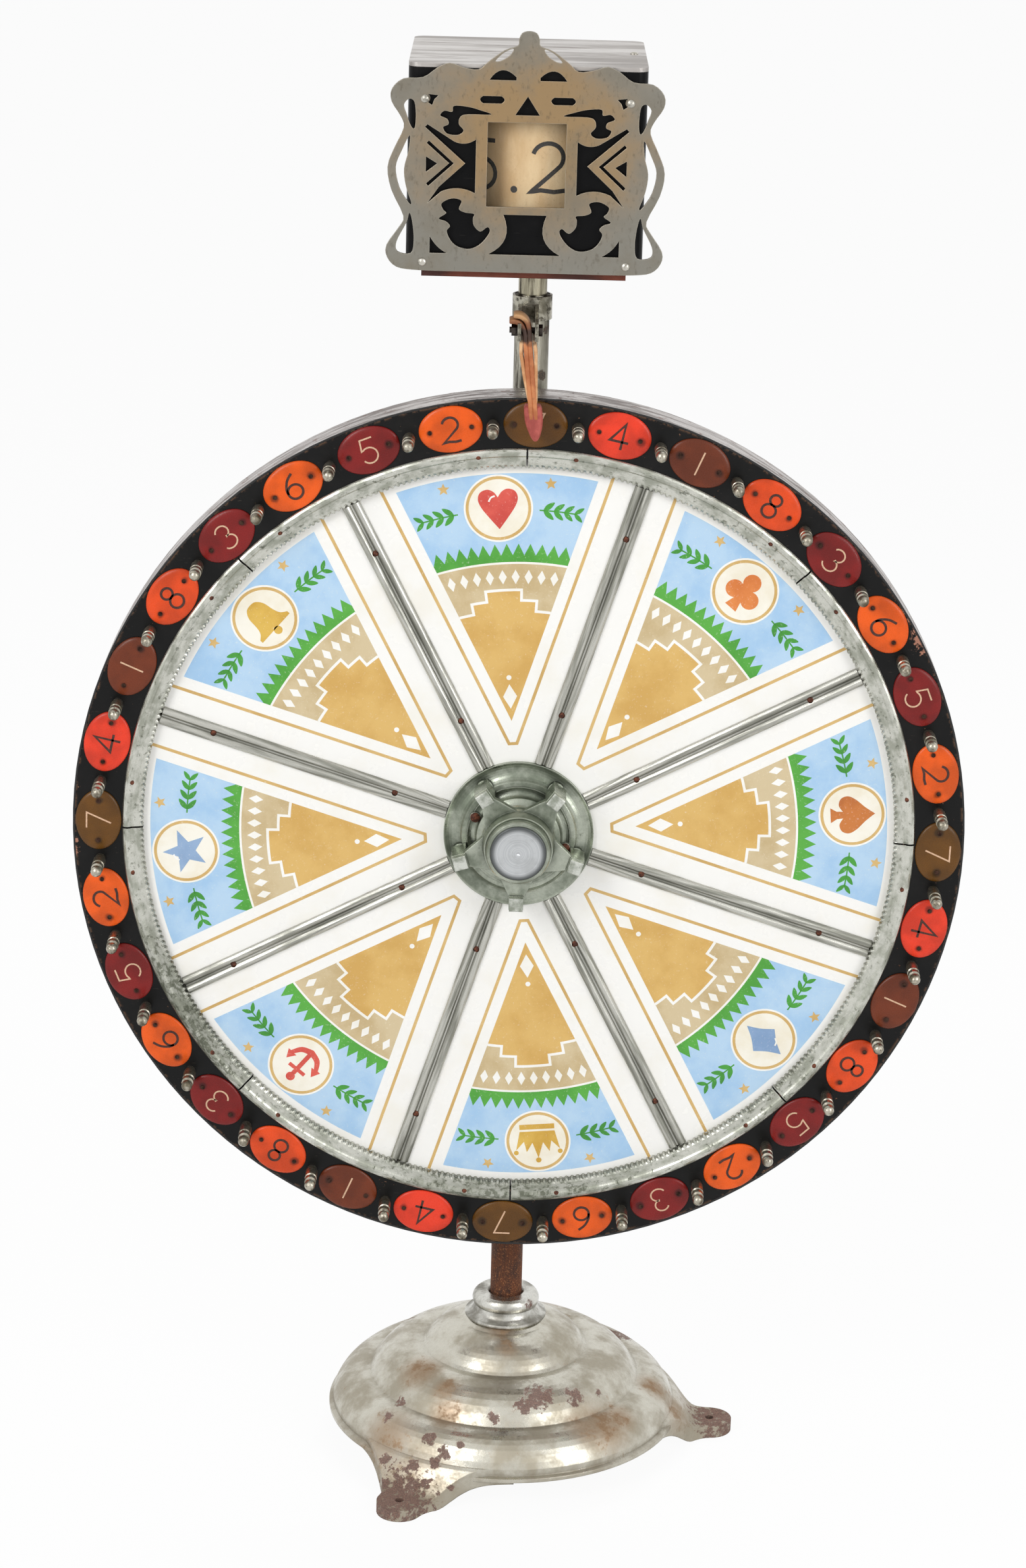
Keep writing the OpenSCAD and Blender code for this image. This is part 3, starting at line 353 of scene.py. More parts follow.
# Wheel rim
# A built-up wooden rim painted black, semi-gloss. The paint is chipped to brown wood at its
# edges, rubbed through at one side, and carries fine scratches and dust.
AXLE = 0.714
RIM_BARE = [(412, -76, 939, 38), (400, -76, 964, 30), (427, -76, 912, 30), (352, -76, 1024, 22),
            (-464, -76, 690, 24)]
material, tree, shader, place = new_material("rim_black")
dust = noise(tree, place, 26.0, 7.0, 0.7)
chips = noise(tree, place, 170.0, 6.0, 0.62)
scratch = noise(tree, stretched(tree, place, (1, 1, 7)), 120.0, 2.0)
edges_worn_and_lit = corner_of(tree, 0.016)
colour = veil(tree, tint(7, 7, 7), dust, 0.42, 0.75, (27, 25, 24), 0.55)
colour = veil(tree, colour, scratch, 0.7, 0.74, (84, 76, 68), 0.4)
chipped = times(tree, edges_worn_and_lit.outputs["Edge"], spread(tree, chips, 0.47, 0.56))
scattered = spread(tree, plus(tree, chips, times(tree, dust, 0.25)), 0.82, 0.84)
chipped = most(tree, chipped, scattered)
rubbed = plus(tree, chips, times(tree, near_any(tree, place, RIM_BARE), 0.47))
rubbed = spread(tree, rubbed, 0.7, 0.78)
chipped = most(tree, chipped, rubbed)
colour = mixed(tree, chipped, colour, mixed(tree, rubbed, tint(112, 84, 64), tint(172, 122, 102)))
rough = plus(tree, spread(tree, dust, 0.3, 0.7, 0.28, 0.46), times(tree, chipped, 0.3))
relief = less(tree, times(tree, dust, 0.4), chipped)
feed(tree, shader, colour=colour, rough=rough, gloss=0.22, normal=bumped(tree, relief, 0.0003, 0.0008))
finish(material, "wheel_rim")

# Metal band round the rim
# A strip of sheet metal bent round the wheel's edge: grey, scuffed white, with brown stains.
# Its front edge was painted over with the rim.
BAND_FRONT = -84.0


def length(tree, vector):
    return put(tree, "VectorMath", {0: vector}, operation="LENGTH").outputs["Value"]


def from_axle(tree, place):
    """A place seen from the axle: its distance across, deep and up, the way out to it, its radius."""
    across, deep, up = put(tree, "SeparateXYZ", {0: place}).outputs
    up = less(tree, up, AXLE)
    out = put(tree, "CombineXYZ", {"X": across, "Z": up}).outputs[0]
    return across, deep, up, out, length(tree, out)


def wrapped(tree, out, around, deep):
    """Pattern place that follows the circle by one scale and goes deep by a value of its own."""
    way = put(tree, "VectorMath", {0: out}, operation="NORMALIZE").outputs[0]
    way = put(tree, "VectorMath", {0: way, "Scale": around}, operation="SCALE").outputs[0]
    inward = put(tree, "CombineXYZ", {"Y": deep}).outputs[0]
    return put(tree, "VectorMath", {0: way, 1: inward}, operation="ADD").outputs[0]


def round_wheel(across, around):
    """Pattern that runs round the axle: fine across, long along the circle, without a seam."""
    def laid(tree, place):
        _, deep, _, out, radius = from_axle(tree, place)
        return wrapped(tree, out, around, times(tree, plus(tree, radius, deep), across))
    return laid


finish(plated("band_metal", (188, 182, 178), (122, 113, 109), (96, 70, 62), 0.46, 20.0, 0.5, 90.0,
              place_of=round_wheel(6.0, 0.35), dirt_and_shade=0.3, depth=0.0003, rub_and_highlight=0.4, painted=BAND_FRONT,
              rust_tints=((112, 86, 80), (150, 116, 104))), "rim_band")

# Boards of the wheel
# Three glued layers of softwood behind the panels. From behind, the back board shows as
# stained timber with its grain running across, darkened round the screws and the edge by dirt and painted
# shade.
grain_wood, have, give = new_group("wood_grain", [
    ("Vector", "Vector", None), ("Light", "Color", None), ("Dark", "Color", None)],
    [("Color", "Color"), ("Height", "Float")])
bent = noise(grain_wood, have["Vector"], 3.0, 2.0)
rings = times(grain_wood, noise(grain_wood, have["Vector"], 2.4, 1.5), 130.0)
rings = spread(grain_wood, calc(grain_wood, "SINE", rings), -1.0, 1.0)
pores = noise(grain_wood, stretched(grain_wood, have["Vector"], (1.0, 6.0, 40.0)), 24.0, 4.0, 0.65)
share = plus(grain_wood, times(grain_wood, rings, 0.5), times(grain_wood, bent, 0.5))
tone = mixed(grain_wood, spread(grain_wood, share, 0.2, 0.75), have["Light"], have["Dark"])
tone = mixed(grain_wood, spread(grain_wood, pores, 0.56, 0.7, 0.0, 0.6), tone, have["Dark"])
close_group(grain_wood, give, Color=tone, Height=plus(grain_wood, pores, times(grain_wood, share, 0.4)))


def timber(name, light, dark, along, dust=0.25):
    """Wood with its grain along one way, darkened in its corners by dirt and painted shade."""
    material, tree, shader, place = new_material(name)
    wood = put(tree, "Group", {"Vector": stretched(tree, place, along), "Light": tint(*light),
                               "Dark": tint(*dark)}, node_tree=grain_wood)
    corner = corner_of(tree, 0.02)
    grime_and_shade = noise(tree, place, 11.0, 6.0, 0.65)
    colour = veil(tree, wood.outputs["Color"], grime_and_shade, 0.42, 0.75, (46, 38, 32), dust)
    # Corners darkened: dirt and painted shade
    colour = mixed(tree, times(tree, corner.outputs["Mask"], 0.6), colour, tint(30, 24, 20))
    feed(tree, shader, colour=colour, rough=spread(tree, grime_and_shade, 0.35, 0.7, 0.5, 0.72),
         normal=bumped(tree, wood.outputs["Height"], 0.0004, 0.0008))
    return material


finish(timber("board_timber", (142, 104, 68), (102, 69, 43), (0.16, 1, 2.6), dust=0.6),
       "back_board", "core_board", "front_board")

# Painted panels
# Eight wedges of sheet metal enamelled white and slightly yellowed. They lie on the front board
# and are held by the strips between them and the trim round them.
material, tree, shader, place = new_material("panel_enamel")
aged = noise(tree, place, 14.0, 6.0, 0.6)
specks = noise(tree, place, 620.0, 2.0, 0.6)
corner = corner_of(tree, 0.01)
colour = veil(tree, tint(250, 249, 245), aged, 0.45, 0.75, (244, 240, 228), 0.7)
colour = veil(tree, colour, specks, 0.73, 0.78, (176, 164, 146), 0.35)
# Darker in the corners by the strips and trim: dirt and painted shade
colour = mixed(tree, times(tree, corner.outputs["Mask"], 0.3), colour, tint(176, 166, 148))
feed(tree, shader, colour=colour, rough=spread(tree, aged, 0.35, 0.7, 0.22, 0.36),
     normal=bumped(tree, plus(tree, aged, times(tree, specks, 0.15)), 0.0002))
finish(material, *[f"panel_{k}" for k in range(1, 9)])

# Painted design on the panels
# Flat poster colours printed over the white in layers: a gold pin line, an ochre point with a
# stepped edge, a tan band of lozenges, a green dogtooth, and a sky with a medal between laurels.
PANEL_F = 76.0
WHEEL_TURN = 0.8
PANEL_TURN = -5.625
PANEL_STEP = 45.0
HALF = math.radians(PANEL_STEP / 2)
LAYER = 0.06
INK_FOOT = -0.3
ink = {}


def gather(store, solid):
    """Adds one closed shape, its points and faces, to those of a mesh."""
    start = len(store[0])
    store[0].extend(solid[0])
    store[1].extend([tuple(start + n for n in face) for face in solid[1]])


def slab(outline, low, high):
    """A flat plate with the outline given, from one height to another."""
    count = len(outline)
    area = sum(a[0] * b[1] - b[0] * a[1] for a, b in zip(outline, outline[1:] + outline[:1]))
    if area < 0:
        outline = outline[::-1]
    points = [(u, v, low) for u, v in outline] + [(u, v, high) for u, v in outline]
    faces = [tuple(range(count - 1, -1, -1)), tuple(range(count, 2 * count))]
    faces += [(i, (i + 1) % count, count + (i + 1) % count, count + i) for i in range(count)]
    return points, faces


def ribbon(path, width, low, high, closed=False):
    """A flat band of even width along a path, mitred at its corners."""
    count = len(path)
    left, right = [], []
    for i, point in enumerate(path):
        before = path[i - 1] if i or closed else None
        after = path[(i + 1) % count] if i < count - 1 or closed else None
        ways = []
        for a, b in ((before, point), (point, after)):
            if a is not None and b is not None:
                ways.append(Vector((b[0] - a[0], b[1] - a[1])).normalized())
        way = sum(ways, Vector((0.0, 0.0))).normalized() if len(ways) > 1 else ways[0]
        reach = width / 2 / max(0.4, way.dot(ways[0]))
        side = Vector((-way.y, way.x)) * reach
        left.append((point[0] + side.x, point[1] + side.y))
        right.append((point[0] - side.x, point[1] - side.y))
    points = [(u, v, w) for w in (low, high) for row in (left, right) for u, v in row]
    faces = []
    for i in range(count if closed else count - 1):
        j = (i + 1) % count
        ring = [(k * count + i, k * count + j) for k in (0, 1, 3, 2)]
        faces += [(a[0], a[1], b[1], b[0]) for a, b in zip(ring, ring[1:] + ring[:1])]
    if not closed:
        first, last = ([k * count + i for k in (0, 1, 3, 2)] for i in (0, count - 1))
        faces += [tuple(first), tuple(last[::-1])]
    return points, faces


def field(outline, layer):
    """A flat shape of paint, bedded in the panel and as high as its layer."""
    return slab(outline, INK_FOOT, layer * LAYER)


def stroke(path, width, layer, closed=False):
    """A painted line of even width, bedded in the same way."""
    return ribbon(path, width, INK_FOOT, layer * LAYER, closed)


def on_wheel(solid, turn):
    """Shape of a panel, u across and v outwards, turned clockwise from the top."""
    turn = math.radians(WHEEL_TURN + turn)
    c, s = math.cos(turn), math.sin(turn)
    return [((v * s + u * c) * MM, -(PANEL_F + w) * MM, AXLE + (v * c - u * s) * MM)
            for u, v, w in solid[0]], solid[1]


def wedge_turn(radius, inset):
    """Half angle of a wedge at a radius, its sides inset from the strips' centre lines."""
    return HALF - math.asin(inset / radius)


def arc(radius, start, end, count=24):
    return [(radius * math.sin(a), radius * math.cos(a))
            for a in (start + (end - start) * i / count for i in range(count + 1))]


def band(low_r, high_r, inset):
    """A slice of the wedge between two radii."""
    low, high = wedge_turn(low_r, inset), wedge_turn(high_r, inset)
    return arc(low_r, -low, low) + arc(high_r, high, -high)


def dogtooth(low, high, inset, count):
    """A row of pointed teeth along a circle, from one side of the wedge to the other."""
    half = wedge_turn(low, inset)
    turns = [half * (i / count - 1) for i in range(2 * count + 1)]
    radii = [low if i % 2 == 0 else high for i in range(2 * count + 1)]
    return [(r * math.sin(turn), r * math.cos(turn)) for r, turn in zip(radii, turns)]


def stepped(levels, inset):
    """An edge that rises in steps to the wedge's middle, each a radius and a share of the half angle."""
    half = wedge_turn(levels[0][0], inset)
    rise = []
    for (radius, outer), (_, inner) in zip(levels, levels[1:] + [(0.0, 0.0)]):
        rise += arc(radius, -half * outer, -half * inner, 5)
    return rise + [(-u, v) for u, v in rise[-2::-1]]


def curve(points, count=6, closed=True):
    """A smooth line through the points."""
    m = len(points)
    line = []
    for i in range(m if closed else m - 1):
        a, b, c, d = (points[(i + k) % m] if closed else points[min(max(i + k, 0), m - 1)]
                      for k in (-1, 0, 1, 2))
        for j in range(count):
            t = j / count
            line.append(tuple(b[n] + 0.5 * t * (c[n] - a[n])
                              + t * t * (a[n] - 2.5 * b[n] + 2 * c[n] - 0.5 * d[n])
                              + t ** 3 * (1.5 * b[n] - 0.5 * a[n] - 1.5 * c[n] + 0.5 * d[n])
                              for n in (0, 1)))
    return line if closed else line + [tuple(points[-1])]


def mirrored(half):
    """A whole outline from its right half, which starts and ends on the middle line."""
    return half + [(-u, v) for u, v in half[-2:0:-1]]


def farthest(discs, stem, count=120):
    """Outline of round lobes and a stem together, as seen from their middle."""
    outline = []
    for i in range(count):
        a = 2 * math.pi * i / count
        way = (math.cos(a), math.sin(a))
        reach = 0.0
        for u, v, r in discs:
            along = way[0] * u + way[1] * v
            inside = r * r - (u * u + v * v - along * along)
            if inside > 0:
                reach = max(reach, along + math.sqrt(inside))
        if way[1] < 0 and abs(way[0] / way[1]) < stem[0] / -stem[1]:
            reach = max(reach, stem[1] / way[1])
        outline.append((way[0] * reach, way[1] * reach))
    return outline


def five_point(outer, inner):
    radii = [inner if i % 2 else outer for i in range(10)]
    return [(r * math.sin(math.pi * i / 5), r * math.cos(math.pi * i / 5)) for i, r in enumerate(radii)]


heart_half = curve([(0, 14), (5, 21), (13, 24.5), (22, 21), (25, 12), (21, 1), (11, -13), (0, -27)],
                   6, False)
spade_half = curve([(0, 29), (9, 17), (20, 5), (25, -5), (22, -14), (13, -17), (4.5, -12)], 6, False)
SYMBOLS = {
    "heart": [mirrored(heart_half)],
    "club": [farthest([(0, 14, 11.5), (-12.5, -5, 11.5), (12.5, -5, 11.5), (0, 0, 8)], (9, -27))],
    "spade": [mirrored(spade_half + [(5, -20), (10, -28), (0, -28)])],
    "diamond": [mirrored(curve([(0, 30), (9, 14), (20.5, 0)], 6, False)
                         + curve([(20.5, 0), (9, -14), (0, -30)], 6, False)[1:])],
    "crown": [mirrored([(0, 24), (7, 2), (15, 15), (18, 0), (29, 12), (23, -14), (0, -14)]),
              mirrored([(0, -17), (23, -17), (23, -24), (0, -24)])],
    "anchor": [mirrored([(0, 16), (3, 16), (3, 11), (13, 11), (13, 6), (3, 6), (3, -17)]
                        + curve([(3, -17), (11, -14), (17, -6)], 5, False)[1:]
                        + [(13, -6), (21, 5), (27, -7), (23, -7)]
                        + curve([(23, -7), (15, -20), (0, -26)], 5, False)[1:])],
    "star": [five_point(30.0, 12.5)],
    "bell": [mirrored(curve([(0, 25), (8, 23), (14, 14), (16, 0), (19, -9), (26, -15)], 6, False)
                      + [(26, -19), (0, -19)])],
}
ROUNDS = {"anchor": [(0, 21.5, 6)], "bell": [(0, -22.5, 5.5)],
          "crown": [(0, 27, 3.6), (29, 15.5, 3.2), (-29, 15.5, 3.2)]}
PANELS = [("heart", "red"), ("club", "orange"), ("spade", "rust"), ("diamond", "pale_blue"),
          ("crown", "yellow"), ("anchor", "red"), ("star", "pale_blue"), ("bell", "yellow")]
leaf = curve([(0, 0), (2.5, 4.5), (2.1, 9.5), (0, 13.5), (-2.1, 9.5), (-2.5, 4.5)], 4)
shine = [(-11, 9), (-8, 14), (-3, 16)]


def moved(outline, u, v, turn=0.0, size=1.0):
    c, s = math.cos(turn) * size, math.sin(turn) * size
    return [(u + a * c + b * s, v - a * s + b * c) for a, b in outline]


def disc(u, v, radius, count=20):
    return [(u + radius * math.cos(2 * math.pi * i / count), v + radius * math.sin(2 * math.pi * i / count))
            for i in range(count)]


def polar(radius, turn):
    return radius * math.sin(math.radians(turn)), radius * math.cos(math.radians(turn))


WEDGE = 46.0
APEX = WEDGE / math.sin(HALF)
PIN_INSET, PIN_TOP, PIN_TIP = 33.0, 386.0, 96.0
TAN_R, GREEN_R, TOOTH_R, SKY_R = 286.0, 294.0, 306.0, 378.4
MEDAL_R, MEDAL_AT, MEDAL_SIDES = 30.0, 343.0, 48
LOZENGE_R, LOZENGE_STEP = 271.5, 2.75
STAR_R, STAR_TURN = 369.0, 8.4
SPRAY_R, SPRAY_TURN, LEAF_STEP = 341.0, 7.6, 1.75
SYMBOL_SIZE = 0.8
pin_half, pin_side = wedge_turn(PIN_TOP, PIN_INSET), PIN_TIP * math.sin(wedge_turn(PIN_TIP, PIN_INSET))
pin_end = (PIN_TOP * math.sin(pin_half), PIN_TOP * math.cos(pin_half))
pin_line = [(-pin_end[0], pin_end[1]), (-pin_side, PIN_TIP), (pin_side, PIN_TIP), pin_end]
ochre_top = stepped([(236.0, 1.0), (247.0, 0.68), (258.0, 0.36)], WEDGE)
tan_half = wedge_turn(TAN_R, WEDGE)
tan_edge = arc(TAN_R, -tan_half, tan_half)
lozenge = [(0.0, 1.0), (0.55, 0.0), (0.0, -1.0), (-0.55, 0.0)]
for k, (symbol, colour_name) in enumerate(PANELS):
    layers = [("gold", stroke(pin_line, 3.2, 1)),
              ("ochre", field([(0.0, APEX)] + ochre_top[::-1], 1)),
              ("tan", field(ochre_top + arc(TAN_R, tan_half, -tan_half), 1)),
              ("white", stroke(ochre_top, 2.8, 2)),
              ("sky", field(band(GREEN_R, SKY_R, WEDGE), 1)),
              ("green", field(tan_edge + dogtooth(GREEN_R, TOOTH_R, WEDGE, 12)[::-1], 2)),
              ("white", stroke(tan_edge, 2.2, 3)),
              ("white", field(moved(lozenge, 0.0, APEX + 26.0, 0.0, 13.0), 2)),
              ("white", field(disc(0.0, APEX + 46.0, 2.6), 2)),
              ("cream", field(disc(0.0, MEDAL_AT, MEDAL_R, MEDAL_SIDES), 3)),
              ("white", stroke(disc(0.0, MEDAL_AT, MEDAL_R + 3.8, MEDAL_SIDES), 2.0, 3, True)),
              ("gold", stroke(disc(0.0, MEDAL_AT, MEDAL_R + 1.4, MEDAL_SIDES), 3.0, 4, True))]
    for turn in (LOZENGE_STEP * i for i in range(-4, 5)):
        layers.append(("white", field(moved(lozenge, *polar(LOZENGE_R, turn), math.radians(turn), 7.5), 2)))
    for side in (-1, 1):
        layers.append(("gold", field(moved(five_point(6.5, 2.9), *polar(STAR_R, STAR_TURN * side)), 2)))
        layers.append(("leaf", stroke([polar(SPRAY_R, side * (6.9 + 0.8 * i)) for i in range(9)], 1.5, 2)))
        for i in range(4):
            for tilt in (-1, 1):
                way = math.radians(side * (SPRAY_TURN + LEAF_STEP * i + 90 + 40 * tilt))
                at = polar(SPRAY_R, side * (SPRAY_TURN + LEAF_STEP * i))
                layers.append(("leaf", field(moved(leaf, *at, way, 1.02 - 0.06 * i), 3)))
    for outline in SYMBOLS[symbol] + [disc(*spot) for spot in ROUNDS.get(symbol, [])]:
        layers.append((colour_name, field(moved(outline, 0.0, MEDAL_AT, 0.0, SYMBOL_SIZE), 5)))
    if symbol in ("heart", "diamond", "star"):
        gleam = moved(curve(shine, 5, False), -0.6, MEDAL_AT, 0.0, SYMBOL_SIZE)
        layers.append(("white", stroke(gleam, 1.7, 6)))
    for name, solid in layers:
        gather(ink.setdefault(name, ([], [])), on_wheel(solid, PANEL_TURN + PANEL_STEP * k))

INKS = {"gold": ((220, 185, 120), (206, 168, 100)), "ochre": ((224, 184, 108), (212, 168, 90)),
        "tan": ((216, 197, 158), (200, 176, 130)), "cream": ((251, 247, 234), (243, 235, 214)),
        "white": ((252, 251, 247), (245, 242, 232)),
        "green": ((90, 174, 66), (74, 156, 54)), "leaf": ((72, 160, 58), (58, 138, 48)),
        "sky": ((186, 216, 241), (164, 202, 236)), "red": ((224, 92, 78), (205, 72, 62)),
        "orange": ((232, 142, 74), (216, 122, 56)), "rust": ((206, 124, 58), (184, 102, 44)),
        "pale_blue": ((150, 178, 212), (130, 160, 198)), "yellow": ((226, 186, 86), (206, 160, 60))}


def piece_of(name, points, faces, material, body, slot, smooth=False):
    """A new piece in the frame, with its material and its body. Its slot is not used."""
    mesh = bpy.data.meshes.new(name)
    mesh.from_pydata(points, [], faces)
    shape = bmesh.new()
    shape.from_mesh(mesh)
    bmesh.ops.recalc_face_normals(shape, faces=shape.faces)
    shape.to_mesh(mesh)
    shape.free()
    mesh.materials.append(material)
    if smooth:
        mesh.polygons.foreach_set("use_smooth", [True] * len(mesh.polygons))
    piece = bpy.data.objects.new(name, mesh)
    bpy.context.scene.collection.objects.link(piece)
    if body:
        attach(piece, body)
    return piece


for name, (points, faces) in ink.items():
    material, tree, shader, place = new_material("ink_" + name)
    wash = noise(tree, place, 22.0, 7.0, 0.62)
    speck = noise(tree, place, 480.0, 3.0, 0.6)
    even, deep = INKS[name]
    colour = veil(tree, tint(*even), wash, 0.38, 0.66, deep)
    colour = veil(tree, colour, speck, 0.6, 0.75, (250, 246, 236), 0.3)
    feed(tree, shader, colour=colour, rough=spread(tree, speck, 0.35, 0.65, 0.34, 0.5),
         normal=bumped(tree, plus(tree, times(tree, speck, 0.3), wash), 0.00012))
    piece_of("design_" + name, points, faces, material, "wheel", "panel")

# Divider strips
# Double-reeded nickel moulding screwed over the joints of the panels; drawn through rollers,
# so its stains and scratches run along it.


def along_spokes(tree, place):
    """Pattern that runs out from the axle: fine across a strip, long along it."""
    _, _, _, out, radius = from_axle(tree, place)
    return wrapped(tree, out, 1.6, times(tree, radius, 0.35))


# The strips' reeds and edges are darkened as dirt and painted shade.
finish(plated("strip_nickel", (201, 200, 192), (138, 138, 129), (84, 82, 75), 0.3, 34.0, 0.04, 140.0,
              place_of=along_spokes, dirt_and_shade=0.75, reach=0.004, dirt_and_shade_tint=(40, 39, 35)), "divider_strips")

# Serrated trim ring
# Eight lengths of nickel moulding round the panels: a bead outside, a sloping face, and an
# inner lip milled into fine teeth. Each length is held by two small screws.
SEAM_TURN = -1.0
SEAM_HALF = 0.13
TRIM_STEPS = 204
TOOTH_DEPTH, TOOTH_DROP = 1.7, 0.35
TRIM_PROFILE = [(406.0, 84.4), (406.0, 86.6), (404.9, 87.9), (402.9, 88.8), (400.6, 88.9), (398.6, 88.2),
                (397.2, 87.0), (395.6, 86.4), (392.4, 85.7), (389.6, 85.2), (388.9, 85.0)]
LIP_PROFILE = [(385.6, 84.1), (385.2, 83.4), (385.2, 76.2)]
BACK_PROFILE = [(390.0, 76.2), (394.0, 84.0)]
TRIM_STAIN = [(0, -85, AXLE / MM - 560, 300), (-420, -85, AXLE / MM - 250, 200),
              (380, -85, AXLE / MM - 400, 220)]
points, faces = [], []
row = len(TRIM_PROFILE) + len(LIP_PROFILE) + len(BACK_PROFILE)
for k in range(8):
    base = len(points)
    seam = WHEEL_TURN + SEAM_TURN + PANEL_STEP * k + SEAM_HALF
    for i in range(TRIM_STEPS + 1):
        turn = math.radians(seam + (PANEL_STEP - 2 * SEAM_HALF) * i / TRIM_STEPS)
        notch_in = 0.0 if i % 4 in (0, 1) else TOOTH_DEPTH
        lip = [(r + notch_in, f - TOOTH_DROP * notch_in) for r, f in LIP_PROFILE]
        section = TRIM_PROFILE + lip + BACK_PROFILE
        points += [(r * math.sin(turn) * MM, -f * MM, AXLE + r * math.cos(turn) * MM) for r, f in section]
    for i in range(TRIM_STEPS):
        for j in range(row):
            a, b = base + i * row + j, base + i * row + (j + 1) % row
            faces.append((a, a + row, b + row, b))
    faces.append(tuple(base + j for j in range(row)))
    faces.append(tuple(base + TRIM_STEPS * row + j for j in range(row - 1, -1, -1)))
# Its teeth and corners are darkened as dirt and painted shade, and its bead is rubbed bright with a painted
# highlight.
trim_nickel = plated("trim_nickel", (210, 210, 201), (163, 165, 153), (98, 101, 87), 0.46, 24.0, 0.1, 150.0,
                     place_of=round_wheel(5.0, 0.9), stains_and_shade=TRIM_STAIN, dirt_and_shade=0.95, reach=0.0045,
                     dirt_and_shade_tint=(36, 36, 31), rub_and_highlight=0.5)
trim = piece_of("serrated_trim", points, faces, trim_nickel, "wheel", "plated_trim")
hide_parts("trim_segments")

# Small screws of the trim and of the flange
# Round-headed iron screws, driven through the mouldings and the flange into the front board.
# All of them are brown with rust.
material, tree, shader, place = new_material("screw_rust")
coarse = noise(tree, place, 400.0, 5.0, 0.6)
colour = veil(tree, tint(58, 30, 22), coarse, 0.35, 0.62, (118, 66, 44))
feed(tree, shader, colour=colour, rough=0.7, metal=0.3, normal=bumped(tree, coarse, 0.0004, 0.0004))
finish(material, "trim_screws", "flange_screws")

# Number tags
# Thirty-two oval tags of coloured cast resin, polished, with softly rounded edges. The numbers
# are engraved and filled, dark on the light tags and cream on the dark ones.
TAG_COUNT = 32
TAG_STEP = 360.0 / TAG_COUNT
TAG_R = 430.5
TAG_HALF, TAG_SIDES = (32.0, 23.5), 56
FACE_F = 85.0
ORDER = [7, 4, 1, 8, 3, 6, 5, 2]
ORDER_RIGHT = [7, 4, 1, 8, 5, 2, 3, 6]
MAROON = ("tags_maroon", "tag_maroon", (132, 28, 26))
ORANGE = ("tags_orange", "tag_orange", (242, 96, 24))
RESINS = {1: ("tags_brown", "tag_brown", (116, 52, 26)),
          4: ("tags_red", "tag_red", (240, 66, 40)),
          7: ("tags_olive", "tag_olive", (106, 68, 18)),
          8: ("tags_vermilion", "tag_vermilion", (236, 80, 30)),
          2: ORANGE, 3: MAROON, 5: MAROON, 6: ORANGE}
DIGIT_SIZE = 1.14
FILL_FOOT, FILL_TOP = 3.7, 4.53
PIN_U = 21.5
TAG_PROFILE = [(0.0, 0.02), (0.0, 1.2), (0.3, 1.9), (0.9, 2.5), (1.8, 3.0), (3.4, 3.5), (6.0, 3.9),
               (10.0, 4.25), (15.0, 4.45), (20.0, 4.5)]


def bow(u, v, r_u, r_v, start, end, count=14):
    """Part of an oval, its angles counted from the right."""
    turns = [math.radians(start + (end - start) * i / count) for i in range(count + 1)]
    return [(u + r_u * math.cos(turn), v + r_v * math.sin(turn)) for turn in turns]


DIGITS = {
    1: [[(0, -11), (0, 11)]],
    2: [bow(0, 4.5, 7, 6.5, 165, -35) + [(-7.5, -11), (-3, -10.2), (3, -11), (8, -10.4)]],
    3: [bow(-0.5, 5.4, 6.2, 5.6, 155, -80, 12) + bow(-0.5, -5.2, 7, 5.9, 80, -155, 14)],
    4: [[(3, -11.5), (3, 11.5), (-8, -4.5), (8.5, -4.5)]],
    5: [[(6.5, 11), (-4.5, 11), (-6, 1.2)] + bow(-0.2, -4, 7.2, 7, 128, -150, 16)],
    6: [curve([(5, 11), (-1.5, 7), (-6, 0.5), (-6.8, -5)], 5, False)[:-1]
        + bow(0, -4.7, 6.8, 6.4, 180, 535, 26)],
    7: [[(-7, 10.5), (7.5, 10.5), (-2, -11.5)]],
    8: [bow(0, 5.6, 5.3, 5.0, -90, 90, 10) + bow(0, 5.6, 5.3, 5.0, 90, 270, 10)[1:]
        + bow(0, -5.4, 6.4, 6.0, 90, -269, 24)[1:]],
}


def on_face(solid, turn):
    """Shape of a tag, u along the rim and v outwards, turned clockwise from the top."""
    turn = math.radians(WHEEL_TURN + turn)
    c, s = math.cos(turn), math.sin(turn)
    return [(((TAG_R + v) * s + u * c) * MM, -(FACE_F + w) * MM, AXLE + ((TAG_R + v) * c - u * s) * MM)
            for u, v, w in solid[0]], solid[1]


def oval_tag():
    """An oval tag lying flat: its profile drawn in from the edge, ring by ring."""
    points, count = [], TAG_SIDES
    for inset, height in TAG_PROFILE:
        points += [((TAG_HALF[0] - inset) * math.cos(2 * math.pi * i / count),
                    (TAG_HALF[1] - inset) * math.sin(2 * math.pi * i / count), height)
                   for i in range(count)]
    faces = [tuple(range(count - 1, -1, -1))]
    for ring in range(len(TAG_PROFILE) - 1):
        low, high = ring * count, (ring + 1) * count
        faces += [(low + i, low + (i + 1) % count, high + (i + 1) % count, high + i) for i in range(count)]
    faces.append(tuple((len(TAG_PROFILE) - 1) * count + i for i in range(count)))
    return points, faces


tag = oval_tag()
resins, fills = {}, {"dark": ([], []), "cream": ([], [])}
for i in range(TAG_COUNT):
    number = ORDER_RIGHT[i % 8] if 8 <= i < 16 else ORDER[i % 8]
    gather(resins.setdefault(RESINS[number][0], ([], [])), on_face(tag, TAG_STEP * i))
    fill, width = ("dark", 2.5) if number % 2 == 0 else ("cream", 1.6)
    for digit in DIGITS[number]:
        solid = ribbon(moved(digit, 0.0, 0.0, 0.0, DIGIT_SIZE), width, FILL_FOOT, FILL_TOP)
        gather(fills[fill], on_face(solid, TAG_STEP * i))


